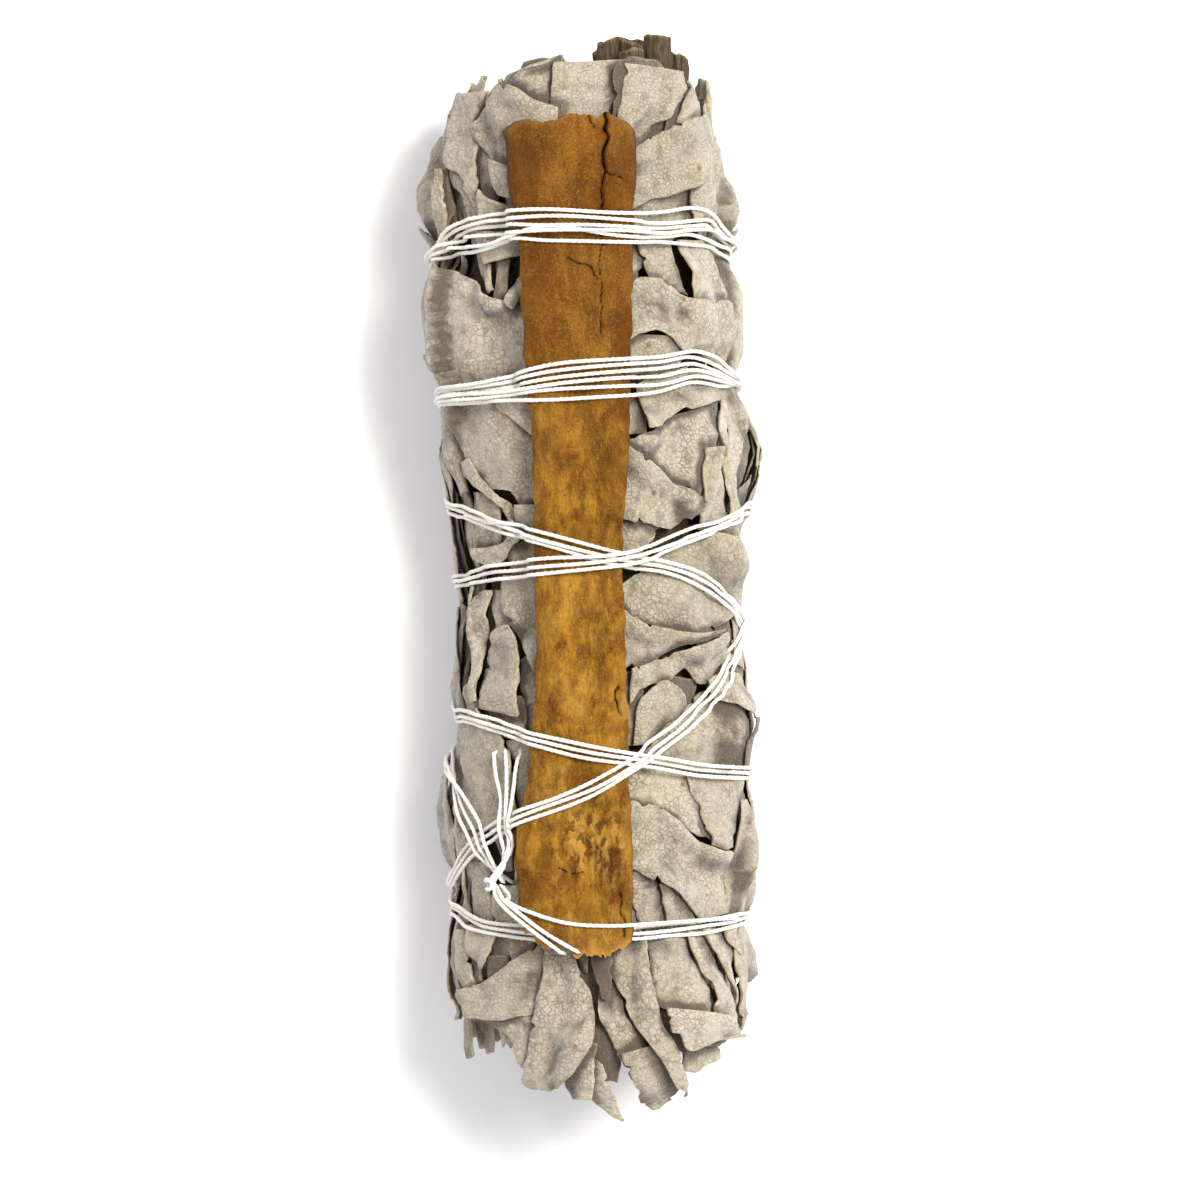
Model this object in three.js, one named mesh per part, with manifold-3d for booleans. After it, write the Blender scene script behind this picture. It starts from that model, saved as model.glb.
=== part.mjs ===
// Sage smudge stick, in millimetres. It lies on its back along Y, stem end at +Y, leaf tips at -Y.
// Leafy sprigs are packed round a middle, a strip of cinnamon bark lies along the front (+Z),
// and a three-strand cotton thread is wound round everything.
import * as THREE from 'three';
import { mergeVertices } from 'three/addons/utils/BufferGeometryUtils.js';
import Module from 'manifold-3d';

const wasm = await Module();
wasm.setup();

// Driving dimensions
const LEAF_DEPTH = 1.6;          // how deep the outer leaves lie over the packed middle
const FLATTENING = 0.84;         // height of the bundle against its width
const BUNDLE_AXIS_HEIGHT = 14.3; // of the middle line over the surface
const BLADE = 0.75;              // leaf blade, thicker than life
const LAYER = 0.55;              // rise of each leaf over what it covers
const SINK = 0.7;                // how far a leaf's underside sinks into what carries it
const SPRIG_GAP = 0.32;          // clear space between neighbouring sprigs
const THREAD_RADIUS = 0.32;
const THREAD_CLEARANCE = 0.35;
const BARK_THICKNESS = 1.3;
const BARK_LIFT = 0.4;
const STEM_CLEARANCE = 0.35;
const SLIVER = 0.03;              // edges shorter than this are closed up

// Outline of the bundle from the front: [y, left x, right x]
const OUTLINE = [
  [56, -13.0, 11.5], [50, -14.6, 12.6], [46, -15.3, 13.1], [41, -16.2, 13.8], [37, -16.6, 14.1],
  [32.5, -16.0, 13.9], [27.5, -17.2, 14.8], [22.5, -16.9, 15.2], [18.2, -15.7, 14.8],
  [12.5, -15.7, 16.2], [7.5, -14.8, 15.4], [2.5, -13.9, 15.2], [-2.5, -13.9, 15.4],
  [-7.5, -14.2, 15.6], [-14.2, -15.1, 16.0], [-19.8, -15.2, 15.6], [-24, -15.2, 15.8],
  [-29.5, -15.1, 16.1], [-34.2, -14.8, 15.8], [-39, -14.6, 16.0], [-45, -14.0, 15.0],
  [-56, -11.5, 12.5],
];

const COLOURS = {
  leaf: 0xb4aa9c,
  stem: 0x5b5046,
  bark: 0xa5692c,
  thread: 0xf1eee6,
};

// Smooth value of one column of a table whose first column falls steadily
function along(table, y, column) {
  if (y >= table[0][0]) return table[0][column];
  for (let i = 1; i < table.length; i += 1) {
    if (y >= table[i][0]) {
      const t = (table[i - 1][0] - y) / (table[i - 1][0] - table[i][0]);
      const s = t * t * (3 - 2 * t);
      return table[i - 1][column] * (1 - s) + table[i][column] * s;
    }
  }
  return table[table.length - 1][column];
}

function bundle(y) {
  const left = along(OUTLINE, y, 1);
  const right = along(OUTLINE, y, 2);
  const half = (right - left) / 2;
  return {
    middle: (left + right) / 2,
    a: half - LEAF_DEPTH,
    b: half * FLATTENING - LEAF_DEPTH,
  };
}

// Leaves are laid out flat as (t, y): t is x on the front and arc length once round the side
const SIDE_SHARE = 0.94;
const SIDE_RADIUS = 14.0;
function angleAt(t, y) {
  const { middle, a } = bundle(y);
  const reach = a + LEAF_DEPTH - 0.4;
  const u = (t - middle) / reach;
  if (Math.abs(u) <= SIDE_SHARE) return Math.asin(u);
  const past = (Math.abs(u) - SIDE_SHARE) * reach;
  return Math.sign(u) * (Math.asin(SIDE_SHARE) + past / SIDE_RADIUS);
}

function place(angle, y, height, floor = 0) {
  const { middle, a, b } = bundle(y);
  const x = middle + (a + height) * Math.sin(angle);
  const z = BUNDLE_AXIS_HEIGHT + (b + height) * Math.cos(angle);
  return [x, y, Math.max(z, floor)];
}

// Height of everything laid so far over the packed middle, on a grid round and along the bundle
const ROUND_CELLS = 240;
const LONG_CELL = 0.6;
const LONG_START = -57;
const LONG_CELLS = 190;
const heights = new Float64Array(ROUND_CELLS * LONG_CELLS);

function cellOf(angle, y) {
  const turn = angle / (2 * Math.PI);
  const column = Math.floor((turn - Math.floor(turn)) * ROUND_CELLS) % ROUND_CELLS;
  const row = Math.round((y - LONG_START) / LONG_CELL);
  return Math.min(Math.max(row, 0), LONG_CELLS - 1) * ROUND_CELLS + column;
}

function neighbours(cell) {
  const column = cell % ROUND_CELLS;
  const row = cell - column;
  return [
    row + (column + 1) % ROUND_CELLS,
    row + (column + ROUND_CELLS - 1) % ROUND_CELLS,
    Math.min(row + ROUND_CELLS, (LONG_CELLS - 1) * ROUND_CELLS) + column,
    Math.max(row - ROUND_CELLS, 0) + column,
  ];
}

// A sheet drawn tight over the heights in the covered cells
function tautSheet(cells, rounds, lift) {
  const sheet = new Map();
  cells.forEach((cell) => sheet.set(cell, heights[cell] + lift));
  for (let round = 0; round < rounds; round += 1) {
    cells.forEach((cell) => {
      let sum = 0;
      let count = 0;
      neighbours(cell).forEach((next) => {
        if (sheet.has(next)) {
          sum += sheet.get(next);
          count += 1;
        }
      });
      if (count > 1) sheet.set(cell, Math.max(heights[cell] + lift, sum / count));
    });
  }
  return sheet;
}

// A closed mesh becomes a solid
function solidOf(points, triangles) {
  return new wasm.Manifold(new wasm.Mesh({
    numProp: 3,
    vertProperties: new Float32Array(points.flat()),
    triVerts: new Uint32Array(triangles.flat()),
  }));
}

// A closed sheet from rows of outer points and inner points, both running the same way
function sheetSolid(outer, inner) {
  const rows = outer.length;
  const columns = outer[0].length;
  const points = [...outer.flat(), ...inner.flat()];
  const top = (i, j) => i * columns + j;
  const under = (i, j) => rows * columns + i * columns + j;
  const triangles = [];
  for (let i = 0; i + 1 < rows; i += 1) {
    for (let j = 0; j + 1 < columns; j += 1) {
      triangles.push([top(i, j), top(i + 1, j), top(i + 1, j + 1)]);
      triangles.push([top(i, j), top(i + 1, j + 1), top(i, j + 1)]);
      triangles.push([under(i, j), under(i + 1, j + 1), under(i + 1, j)]);
      triangles.push([under(i, j), under(i, j + 1), under(i + 1, j + 1)]);
    }
  }
  const rim = [];
  for (let j = 0; j + 1 < columns; j += 1) rim.push([0, j, 0, j + 1]);
  for (let i = 0; i + 1 < rows; i += 1) rim.push([i, columns - 1, i + 1, columns - 1]);
  for (let j = columns - 1; j > 0; j -= 1) rim.push([rows - 1, j, rows - 1, j - 1]);
  for (let i = rows - 1; i > 0; i -= 1) rim.push([i, 0, i - 1, 0]);
  rim.forEach(([i, j, m, n]) => {
    triangles.push([top(i, j), top(m, n), under(m, n)]);
    triangles.push([top(i, j), under(m, n), under(i, j)]);
  });
  const solid = solidOf(points, triangles);
  return solid.volume() > 0 ? solid : solidOf(points, triangles.map(([p, q, r]) => [p, r, q]));
}

// Evenly spaced points of a smooth line through hand-set ones
function smoothLine(points, count) {
  if (points.length === 2) {
    return Array.from({ length: count }, (_, i) => {
      const s = i / (count - 1);
      return [0, 1].map((k) => points[0][k] * (1 - s) + points[1][k] * s);
    });
  }
  const curve = new THREE.CatmullRomCurve3(
    points.map(([x, y]) => new THREE.Vector3(x, y, 0)), false, 'centripetal');
  return curve.getSpacedPoints(count - 1).map((p) => [p.x, p.y]);
}

// One leaf: edges a and b run from its base to its tip
const ALONG_STEP = 7;
const ACROSS_STEP = 6;
function leafSolid({ a, b, lift = 0 }) {
  const fineA = smoothLine(a, 48);
  const fineB = smoothLine(b, 48);
  const covered = new Set();
  fineA.forEach((pa, i) => {
    for (let k = 0; k <= 40; k += 1) {
      const s = k / 40;
      const t = pa[0] * (1 - s) + fineB[i][0] * s;
      const y = pa[1] * (1 - s) + fineB[i][1] * s;
      covered.add(cellOf(angleAt(t, y), y));
    }
  });
  const cells = [...covered];
  const sheet = tautSheet(cells, 24, LAYER + lift);
  const length = Math.hypot(a[0][0] - a.at(-1)[0], a[0][1] - a.at(-1)[1]);
  const width = Math.max(...fineA.map((p, i) => Math.hypot(p[0] - fineB[i][0], p[1] - fineB[i][1])));
  const rows = Math.max(3, Math.ceil(length / ALONG_STEP) + 1);
  const columns = Math.max(3, Math.ceil(width / ACROSS_STEP) + 1);
  const edgeA = smoothLine(a, rows);
  const edgeB = smoothLine(b, rows);
  const outer = [];
  const inner = [];
  for (let i = 0; i < rows; i += 1) {
    outer.push([]);
    inner.push([]);
    for (let j = 0; j < columns; j += 1) {
      const s = j / (columns - 1);
      const t = edgeA[i][0] * (1 - s) + edgeB[i][0] * s;
      const y = edgeA[i][1] * (1 - s) + edgeB[i][1] * s;
      const angle = angleAt(t, y);
      const cell = cellOf(angle, y);
      const below = heights[cell];
      const top = (sheet.get(cell) ?? below + LAYER + lift) + 0.12 * Math.sin(1.9 * i + 2.3 * j);
      const isRim = i === 0 || j === 0 || i === rows - 1 || j === columns - 1;
      const under = isRim ? Math.min(top - BLADE, below + 0.3) : below - SINK;
      outer[i].push(place(angle, y, top, 0));
      inner[i].push(place(angle, y, Math.max(under, -1.5), BLADE));
    }
  }
  cells.forEach((cell) => {
    heights[cell] = Math.max(heights[cell], sheet.get(cell));
  });
  return sheetSolid(outer, inner);
}

// The leaves that show on the front, inner ones first
const FRONT_RIGHT_LEAVES = [
  {
    a: [[3.3, 50.9], [2.9, 47.5], [2.5, 43.5], [3.5, 42.3]],
    b: [[9.7, 50.3], [9.3, 48], [7.7, 45.7], [4.7, 42.5]],
  },
  {
    a: [[8.3, 45], [9.1, 47.7], [10.5, 49.6]],
    b: [[12.4, 45.4], [12.4, 46.9], [11, 49.5]],
  },
  {
    a: [[4.7, 38], [8.7, 39], [11.9, 39.5]],
    b: [[4.7, 33.5], [8.7, 33], [12.3, 35.3]],
  },
  {
    a: [[11.2, 42.5], [10.1, 38.5], [10.9, 36.5], [13.2, 32.5]],
    b: [[14.7, 43.5], [15.2, 39.5], [15.5, 36], [15.5, 32.5]],
  },
  {
    a: [[2.9, 41.7], [5.7, 43.5], [9.7, 45.5], [13.9, 46.6]],
    b: [[2.9, 35.7], [5.7, 37], [9.7, 38.5], [12.4, 41.7], [14, 46.2]],
  },
  {
    a: [[4.7, 33.5], [5.5, 30.5], [6.7, 28.3]],
    b: [[8.7, 33.5], [9.5, 31.3], [10.3, 28]],
  },
  {
    a: [[10, 33.5], [9.9, 30.5], [10.1, 27.5], [10.7, 24.5]],
    b: [[15.6, 33.5], [16.2, 27.5], [16.4, 24.5]],
  },
  {
    a: [[3.1, 28.5], [6.2, 29.8], [9.7, 27.8], [13.7, 27.5], [16.4, 27.5]],
    b: [[3.1, 23], [5.7, 24.2], [7.5, 24.3], [9.7, 22.5], [12.2, 22.1], [15.6, 19.7]],
  },
  {
    a: [[3.3, 13.5], [6.7, 14.5], [10.5, 16.7], [13.1, 17.3]],
    b: [[3.3, 12.9], [6.5, 10.6], [9, 8.8], [10.7, 7.6]],
  },
  {
    a: [[12, 12.9], [11.5, 9.5], [11.3, 7.5], [11.7, 4.5]],
    b: [[12.9, 12.8], [13.5, 10.5], [14, 8.5], [13.5, 4.5]],
  },
  {
    a: [[13.5, 19.7], [14.3, 15.5], [14.2, 12.5], [14.2, 8.5], [13.7, 5.5]],
    b: [[16.3, 19.7], [17.3, 15.5], [17.5, 12.5], [17.1, 8.5], [16.7, 5.5]],
  },
  {
    a: [[4.7, 19], [9.7, 20.5], [13.7, 20.7]],
    b: [[5.5, 14.3], [9.7, 16.4], [13.3, 17.4]],
  },
  {
    a: [[2.9, 6], [3, 3.5], [3.3, 1.5]],
    b: [[7.7, 5], [6.2, 3], [5.2, 1]],
  },
  {
    a: [[2.9, 13.1], [5.7, 11.3], [8.7, 9.1], [10.9, 7.5]],
    b: [[2.9, 5.7], [5.7, 5.2], [8.7, 4.6], [10.6, 5.3]],
  },
  {
    a: [[5.2, 0.9], [9.7, 3], [12.9, 4.1], [16.5, 2]],
    b: [[5.7, -1], [10.7, -2.5], [14.2, -3.7], [17.2, -3.7]],
  },
  {
    a: [[2.5, -1.5], [4.7, 0.1], [9.7, -0.3], [14.4, -3.1]],
    b: [[2.5, -3.3], [5.2, -4.7], [9.7, -5.8], [12.9, -5.5], [14.5, -3.4]],
  },
  {
    a: [[2.2, -3], [5.2, -4.6], [7.7, -5.3], [10.7, -5.8], [13.1, -5.4]],
    b: [[2.2, -9.3], [6.2, -9], [8.7, -7.5], [13, -5.9]],
  },
  {
    a: [[3.9, -9.5], [7.5, -8.3], [9.7, -7.2], [13.4, -5.7]],
    b: [[3.9, -12.7], [5.7, -11.2], [8.2, -10.5], [10, -9.3], [11.7, -10.9], [14.1, -8.5]],
  },
  {
    a: [[4.3, -17], [4.7, -13.5], [5.4, -11.7], [6.9, -10.7]],
    b: [[10.7, -16.5], [10.5, -14], [9.7, -11.8], [7.7, -10.7]],
  },
  {
    a: [[4.7, -18.5], [7.7, -15.3], [12, -11.9], [13.1, -11.8], [15.4, -14.2]],
    b: [[4.7, -20], [9.7, -21], [14.7, -21], [16.2, -20]],
  },
  {
    a: [[12, -10.5], [14, -9.7], [15.9, -11.3], [17.2, -12.8]],
    b: [[12.4, -12.2], [15.2, -14.1], [16.3, -14.4], [17.3, -13.4]],
  },
  {
    a: [[2.7, -19], [8.7, -19.7], [14.7, -20.5]],
    b: [[2.7, -23.1], [7.2, -23.1], [10.7, -25.7], [14.2, -27]],
  },
  {
    a: [[9.9, -20], [10.9, -23], [12.3, -27.1]],
    b: [[15.5, -20], [15.7, -24], [14.5, -27.5]],
  },
  {
    a: [[14.7, -22.5], [14.9, -27.5], [14.7, -33.7]],
    b: [[17.5, -22.5], [17.7, -27.5], [17.5, -34]],
  },
  {
    a: [[6.9, -30.7], [7.5, -33], [8.2, -35.5]],
    b: [[9.7, -31.5], [11, -33], [12.5, -35.3]],
  },
  {
    a: [[2.5, -22.5], [6.4, -22.9], [9.7, -25.2], [12.5, -27.3], [14.5, -27.6]],
    b: [[2.5, -29.1], [4.7, -29.5], [9.7, -32.3], [12.3, -34.4], [14.7, -33.8]],
  },
  {
    a: [[0.5, -40.5], [0.7, -43.5], [2.3, -47.1], [3.9, -50.3]],
    b: [[2.5, -40.5], [3.7, -44.3], [5.5, -46.7], [6.2, -49.5]],
  },
  {
    a: [[2.9, -47.5], [3.9, -50.3], [4.7, -52.3], [6.5, -53.3]],
    b: [[6.7, -46.5], [9.2, -50], [8.7, -52], [7.2, -53.1]],
  },
  {
    a: [[9.5, -43.5], [9.7, -47.5], [10.4, -49.5], [11.3, -49.7]],
    b: [[13.7, -43.5], [14.5, -47.3], [14.4, -48.4], [12.2, -49.1]],
  },
  {
    a: [[5.2, -38.5], [6.2, -43.5], [7.5, -46.5], [9.3, -47.7]],
    b: [[13, -41], [14.9, -44.5], [13.9, -47], [11.9, -46.7]],
  },
  {
    a: [[5.5, -35.5], [5.4, -39], [5.7, -42.5], [7.9, -43.3]],
    b: [[10.2, -35.5], [11, -39.5], [11.7, -41.5], [10.7, -44.5]],
  },
  {
    a: [[10, -35.5], [10.7, -39], [11.8, -41.5], [11.9, -43.7], [13.6, -45.3]],
    b: [[12.3, -35.5], [13.7, -39.5], [15.1, -42.3], [15.5, -46]],
  },
  {
    a: [[12, -35.3], [13.7, -39.7], [15.2, -42.5], [15.8, -44.5]],
    b: [[16.5, -35.3], [16.2, -39], [16.3, -42], [16.4, -44.2]],
  },
  {
    a: [[0.7, -35.5], [1.9, -39.5], [3.5, -43.3], [5.3, -46.5], [7.9, -51]],
    b: [[5.4, -35.5], [5.4, -39.5], [6.1, -43.3], [8.3, -48], [9.9, -52.1]],
  },
];

const FRONT_LEFT_LEAVES = [
  {
    a: [[-9.3, 45.5], [-10.4, 48.3], [-9.6, 49.3], [-7.3, 49.8]],
    b: [[-4, 45], [-3.7, 48.5], [-3, 51.8], [-4.6, 50.8]],
  },
  {
    a: [[-3.6, 51], [-4.2, 47], [-4.4, 42.5], [-3.3, 38.5]],
    b: [[3.6, 51.4], [4, 48.9], [1.5, 45.9], [-0.3, 38.5]],
  },
  {
    a: [[-14.9, 48.2], [-15.6, 46.5], [-15.4, 42], [-13.8, 39], [-12.2, 35.5]],
    b: [[-11.3, 48.4], [-12.5, 46.3], [-12.5, 41.5], [-11.9, 35.5]],
  },
  {
    a: [[-3.3, 46.5], [-5.5, 47.2], [-8, 48.9], [-10.3, 48.1], [-12.7, 44.8]],
    b: [[-3.3, 37.5], [-7.3, 38.3], [-9.5, 39.7], [-11.3, 41.8], [-12.7, 44.2]],
  },
  {
    a: [[-18, 40.5], [-18, 37.5], [-17.5, 32.5]],
    b: [[-15.6, 40.8], [-15.4, 37.5], [-15, 32.5]],
  },
  {
    a: [[-13, 32.3], [-12.6, 30], [-11, 28.2]],
    b: [[-11.8, 32.5], [-11, 30.5], [-10.4, 28.6]],
  },
  {
    a: [[-18, 30.8], [-18.3, 27.5], [-18, 24.5], [-17.8, 22]],
    b: [[-16.3, 30.8], [-16.1, 27.5], [-15.7, 24], [-15.7, 21.5]],
  },
  {
    a: [[-17.8, 22], [-17, 19], [-16.8, 15.5]],
    b: [[-15.8, 22.3], [-14.6, 18.5], [-14.4, 15.5]],
  },
  {
    a: [[-16.6, 31.6], [-13.4, 29.7], [-10.9, 27.9], [-7.5, 26.4], [-5, 22], [-5, 17]],
    b: [[-16.8, 31.2], [-16.6, 27.5], [-16, 23], [-14.9, 19], [-13.5, 17], [-11, 15.5]],
  },
  {
    a: [[-17.2, 18], [-17.2, 15], [-16.4, 12.5], [-15.4, 8]],
    b: [[-14.4, 18], [-14.3, 14.5], [-14.1, 11.5], [-13.6, 8.5]],
  },
  {
    a: [[-12.8, 8.3], [-12.6, 1.5]],
    b: [[-10.6, 7.5], [-10.4, 2]],
  },
  {
    a: [[-14.3, 17.5], [-14.1, 14.5], [-13.7, 11.7], [-11.8, 8.8], [-9.2, 8.3], [-8.1, 6.6]],
    b: [[-4.8, 17.5], [-4.8, 12.5], [-5.3, 8.5], [-6, 6.8], [-7, 6.4]],
  },
  {
    a: [[-14, 11.3], [-13.5, 9.7], [-11.8, 8.3], [-10.1, 6.7], [-9.3, 4.5]],
    b: [[-13.2, 11.7], [-12.4, 10.2], [-10.8, 8.3], [-9.2, 6.7], [-8.3, 4.2]],
  },
  {
    a: [[-9.6, 2.3], [-8.1, 3.5], [-4.8, 5.3]],
    b: [[-9.6, -0.5], [-7.3, -1.5], [-4.8, -1.5]],
  },
  {
    a: [[-11.5, -1.5], [-11.5, -3], [-10.7, -5.6]],
    b: [[-9, -1.5], [-8.5, -3.5], [-9.3, -5]],
  },
  {
    a: [[-10.9, 0], [-10.5, -2.2], [-9.3, -4.2], [-7.7, -7], [-6, -9.7]],
    b: [[-4.3, 0], [-4.1, -4.5], [-4.3, -8.5], [-4.8, -11.5]],
  },
  {
    a: [[-15.6, -1.5], [-15.2, -6], [-14.8, -10.5]],
    b: [[-12.9, -1], [-12.9, -6], [-12.9, -10.5]],
  },
  {
    a: [[-12.3, -13.3], [-12.5, -11], [-12.3, -8.5], [-11.5, -6.7], [-10.2, -5.4], [-8.9, -4.9]],
    b: [[-7.9, -14.2], [-7.8, -11.5], [-7.6, -8.5], [-8, -6.2], [-8.5, -5.1]],
  },
  {
    a: [[-9.3, -16.5], [-8.5, -21], [-8.5, -27], [-8.7, -31]],
    b: [[-5.5, -16.5], [-5.5, -22], [-6, -31]],
  },
  {
    a: [[-17, -23.5], [-16.8, -29]],
    b: [[-13.5, -24], [-12.7, -28.7]],
  },
  {
    a: [[-14.6, -10.9], [-13.1, -12.7], [-11.5, -14.3], [-9, -17.5], [-8.5, -22.5], [-9.3, -25.7]],
    b: [[-15.5, -11.5], [-16.9, -14.5], [-17.4, -19.5], [-16.8, -23], [-14, -25.3]],
  },
  {
    a: [[-14.2, -28.7], [-14.3, -31.5], [-13.7, -35]],
    b: [[-12, -28.7], [-11.6, -31.5], [-11.5, -35]],
  },
  {
    a: [[-16.5, -29.5], [-16.5, -36]],
    b: [[-14.3, -29.5], [-14.3, -36]],
  },
  {
    a: [[-11.3, -31.5], [-11.3, -35.5]],
    b: [[-7, -30.7], [-6.5, -35.5]],
  },
  {
    a: [[-16, -35.5], [-15.6, -39], [-14.6, -42]],
    b: [[-13.7, -35.5], [-13.2, -38.5], [-12.6, -41]],
  },
  {
    a: [[-13.5, -35], [-13.4, -37], [-12.8, -38.5], [-12.1, -39.2]],
    b: [[-10.5, -35], [-10.9, -37], [-11.1, -38.3], [-11.7, -39.2]],
  },
  {
    a: [[-0.9, -48], [-0.5, -51.8], [1.7, -53.7], [3, -54.3]],
    b: [[0.7, -48.3], [1.9, -51], [2.8, -52.7], [3.3, -54.1]],
  },
  {
    a: [[-3, -46.5], [-3, -50.5], [-2.3, -52.3]],
    b: [[0.2, -46.5], [0.3, -50], [-0.2, -52.4]],
  },
  {
    a: [[-5.2, -43], [-9.3, -43.8], [-13.2, -44]],
    b: [[-7, -48], [-8.2, -49.3], [-9.5, -46.5], [-11, -45.3], [-13.3, -44.4]],
  },
  {
    a: [[-5, -35.5], [-6.5, -37], [-9.3, -39.3], [-12.3, -41], [-14.6, -42]],
    b: [[-5, -43.7], [-7.3, -43.8], [-10.3, -44.3], [-13.1, -44.3], [-14.5, -42.7]],
  },
  {
    a: [[-5.6, -35.5], [-5.5, -40], [-6.1, -43.3], [-7.7, -49.3], [-7.9, -50.7], [-6.3, -51.4]],
    b: [[-2.3, -35.5], [-1.3, -39.7], [-0.1, -42], [-0.1, -46.5], [-1.8, -49.5], [-3.5, -51.3]],
  },
];

// Draws the same numbers every time
function seededDraw(seed) {
  let state = seed;
  return () => {
    state = (Math.imul(state, 1664525) + 1013904223) >>> 0;
    return state / 4294967296;
  };
}

// Leaves of a hidden sprig lie in rows along it, each a pointed oval turned a little
function rowLeaves(seed, middleT, spreadT) {
  const draw = seededDraw(seed);
  const leaves = [];
  for (let row = 0; row < 5; row += 1) {
    const length = 25 + 6 * draw();
    const half = 4.6 + 1.6 * draw();
    const y = 36.5 - row * 17.5 + 4 * (draw() - 0.5);
    const t = middleT + spreadT * (draw() - 0.5);
    const turn = (draw() - 0.5) * 0.6;
    const cos = Math.cos(turn);
    const sin = Math.sin(turn);
    const edge = (side) => [[0.5, 0.45], [0.22, 0.95], [-0.1, 1], [-0.36, 0.62], [-0.5, 0.12]]
      .map(([s, w]) => [side * w * half, s * length])
      .map(([across, up]) => [t + cos * across - sin * up, y + sin * across + cos * up]);
    leaves.push({ a: edge(-1), b: edge(1) });
  }
  return leaves;
}

// Leaf ends that fill the bundle's two ends, standing out of the packed middle
function endLeaves(seed, fromAngle, toAngle) {
  const draw = seededDraw(seed);
  const leaves = [];
  [[40, 47.5, 1], [-38, -46, -1]].forEach(([root, tip, way]) => {
    const angle = fromAngle + (toAngle - fromAngle) * (0.3 + 0.4 * draw());
    const reach = tip + way * 2.2 * (draw() - 0.4);
    leaves.push({ angle, root, tip: reach, half: 0.3 + 0.1 * draw() });
  });
  return leaves;
}

// How wide an end leaf is along it, as parts of its half width
const END_LEAF_WIDTHS = [[0, 1], [0.5, 1.05], [0.85, 0.8], [1, 0.35]];
const END_LEAF_HEIGHT = -3.2;

function endLeafSolid({ angle, root, tip, half }) {
  const outer = [];
  const inner = [];
  END_LEAF_WIDTHS.forEach(([s, share]) => {
    const width = half * share;
    const y = root + (tip - root) * s;
    const row = [-1, 0, 1].map((k) => [angle + k * width, END_LEAF_HEIGHT + 0.5 * s * (k === 0 ? 0.4 : 1)]);
    outer.push(row.map(([turn, height]) => place(turn, y, height)));
    inner.push(row.map(([turn, height]) => place(turn, y, height - BLADE)));
  });
  return sheetSolid(outer, inner);
}

// The packed middle: rings along the bundle, drawn in at both ends
function middleSolid() {
  const sides = 12;
  const stations = [43.5, 40, 26, 12, -2, -16, -30, -37, -40.5];
  const points = [];
  const triangles = [];
  stations.forEach((y, i) => {
    const isEnd = i === 0 || i === stations.length - 1;
    for (let k = 0; k < sides; k += 1) {
      points.push(place((k / sides) * 2 * Math.PI, y, isEnd ? -2.2 : 0.05));
    }
  });
  const first = points.length;
  points.push([bundle(stations[0]).middle, stations[0], BUNDLE_AXIS_HEIGHT]);
  points.push([bundle(stations.at(-1)).middle, stations.at(-1), BUNDLE_AXIS_HEIGHT]);
  for (let k = 0; k < sides; k += 1) {
    const next = (k + 1) % sides;
    for (let i = 0; i + 1 < stations.length; i += 1) {
      const here = i * sides;
      triangles.push([here + k, here + sides + next, here + sides + k]);
      triangles.push([here + k, here + next, here + sides + next]);
    }
    const last = (stations.length - 1) * sides;
    triangles.push([first, next, k]);
    triangles.push([first + 1, last + k, last + next]);
  }
  const solid = solidOf(points, triangles);
  return solid.volume() > 0 ? solid : solidOf(points, triangles.map(([p, q, r]) => [p, r, q]));
}

// Where the two front sprigs meet: under the bark, and along leaf edges at both ends
const FRONT_SEAM = [
  [57, 3.9], [51.3, 3.9], [48.9, 4.1], [46.7, 2.3], [45, 0.5], [30, -1], [0, -2], [-30, -1], [-36, -0.8],
  [-42, 0.1], [-46.5, 0.15], [-48.3, 0.7], [-50.8, 1.9], [-52.6, 3.2], [-57, 4.2],
];
const SIDE_SEAM = 80 * Math.PI / 180;
const BACK_SEAM = 130 * Math.PI / 180;

function seamDirection(angle, y) {
  const point = place(angle, y, 2);
  return Math.atan2(point[0] - bundle(y).middle, point[2] - BUNDLE_AXIS_HEIGHT);
}

// Space of one sprig between two seams, each given as a function of y
function sprigSpace(fromSeam, toSeam) {
  const reach = 45;
  const points = [];
  const triangles = [];
  const steps = 4;
  const ring = steps + 2;
  FRONT_SEAM.forEach(([y]) => {
    const from = fromSeam(y);
    const to = toSeam(y);
    const facing = (from + to) / 2;
    const shift = SPRIG_GAP / 2 / Math.sin((to - from) / 2);
    const x = bundle(y).middle + shift * Math.sin(facing);
    const z = BUNDLE_AXIS_HEIGHT + shift * Math.cos(facing);
    points.push([x, y, z]);
    for (let k = 0; k <= steps; k += 1) {
      const turn = from + (to - from) * (k / steps);
      points.push([x + reach * Math.sin(turn), y, z + reach * Math.cos(turn)]);
    }
  });
  const last = (FRONT_SEAM.length - 1) * ring;
  for (let k = 0; k < ring; k += 1) {
    const next = (k + 1) % ring;
    for (let here = 0; here < last; here += ring) {
      if (next === 0) {
        triangles.push([here + k, here + ring + k, here]);
        triangles.push([here + ring + k, here + ring, here]);
      } else {
        triangles.push([here + k, here + ring + k, here + ring + next]);
        triangles.push([here + k, here + ring + next, here + next]);
      }
    }
    if (k > 0 && k < ring - 1) {
      triangles.push([0, k, k + 1]);
      triangles.push([last, last + k + 1, last + k]);
    }
  }
  const solid = solidOf(points, triangles);
  return solid.volume() > 0 ? solid : solidOf(points, triangles.map(([p, q, r]) => [p, r, q]));
}

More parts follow.
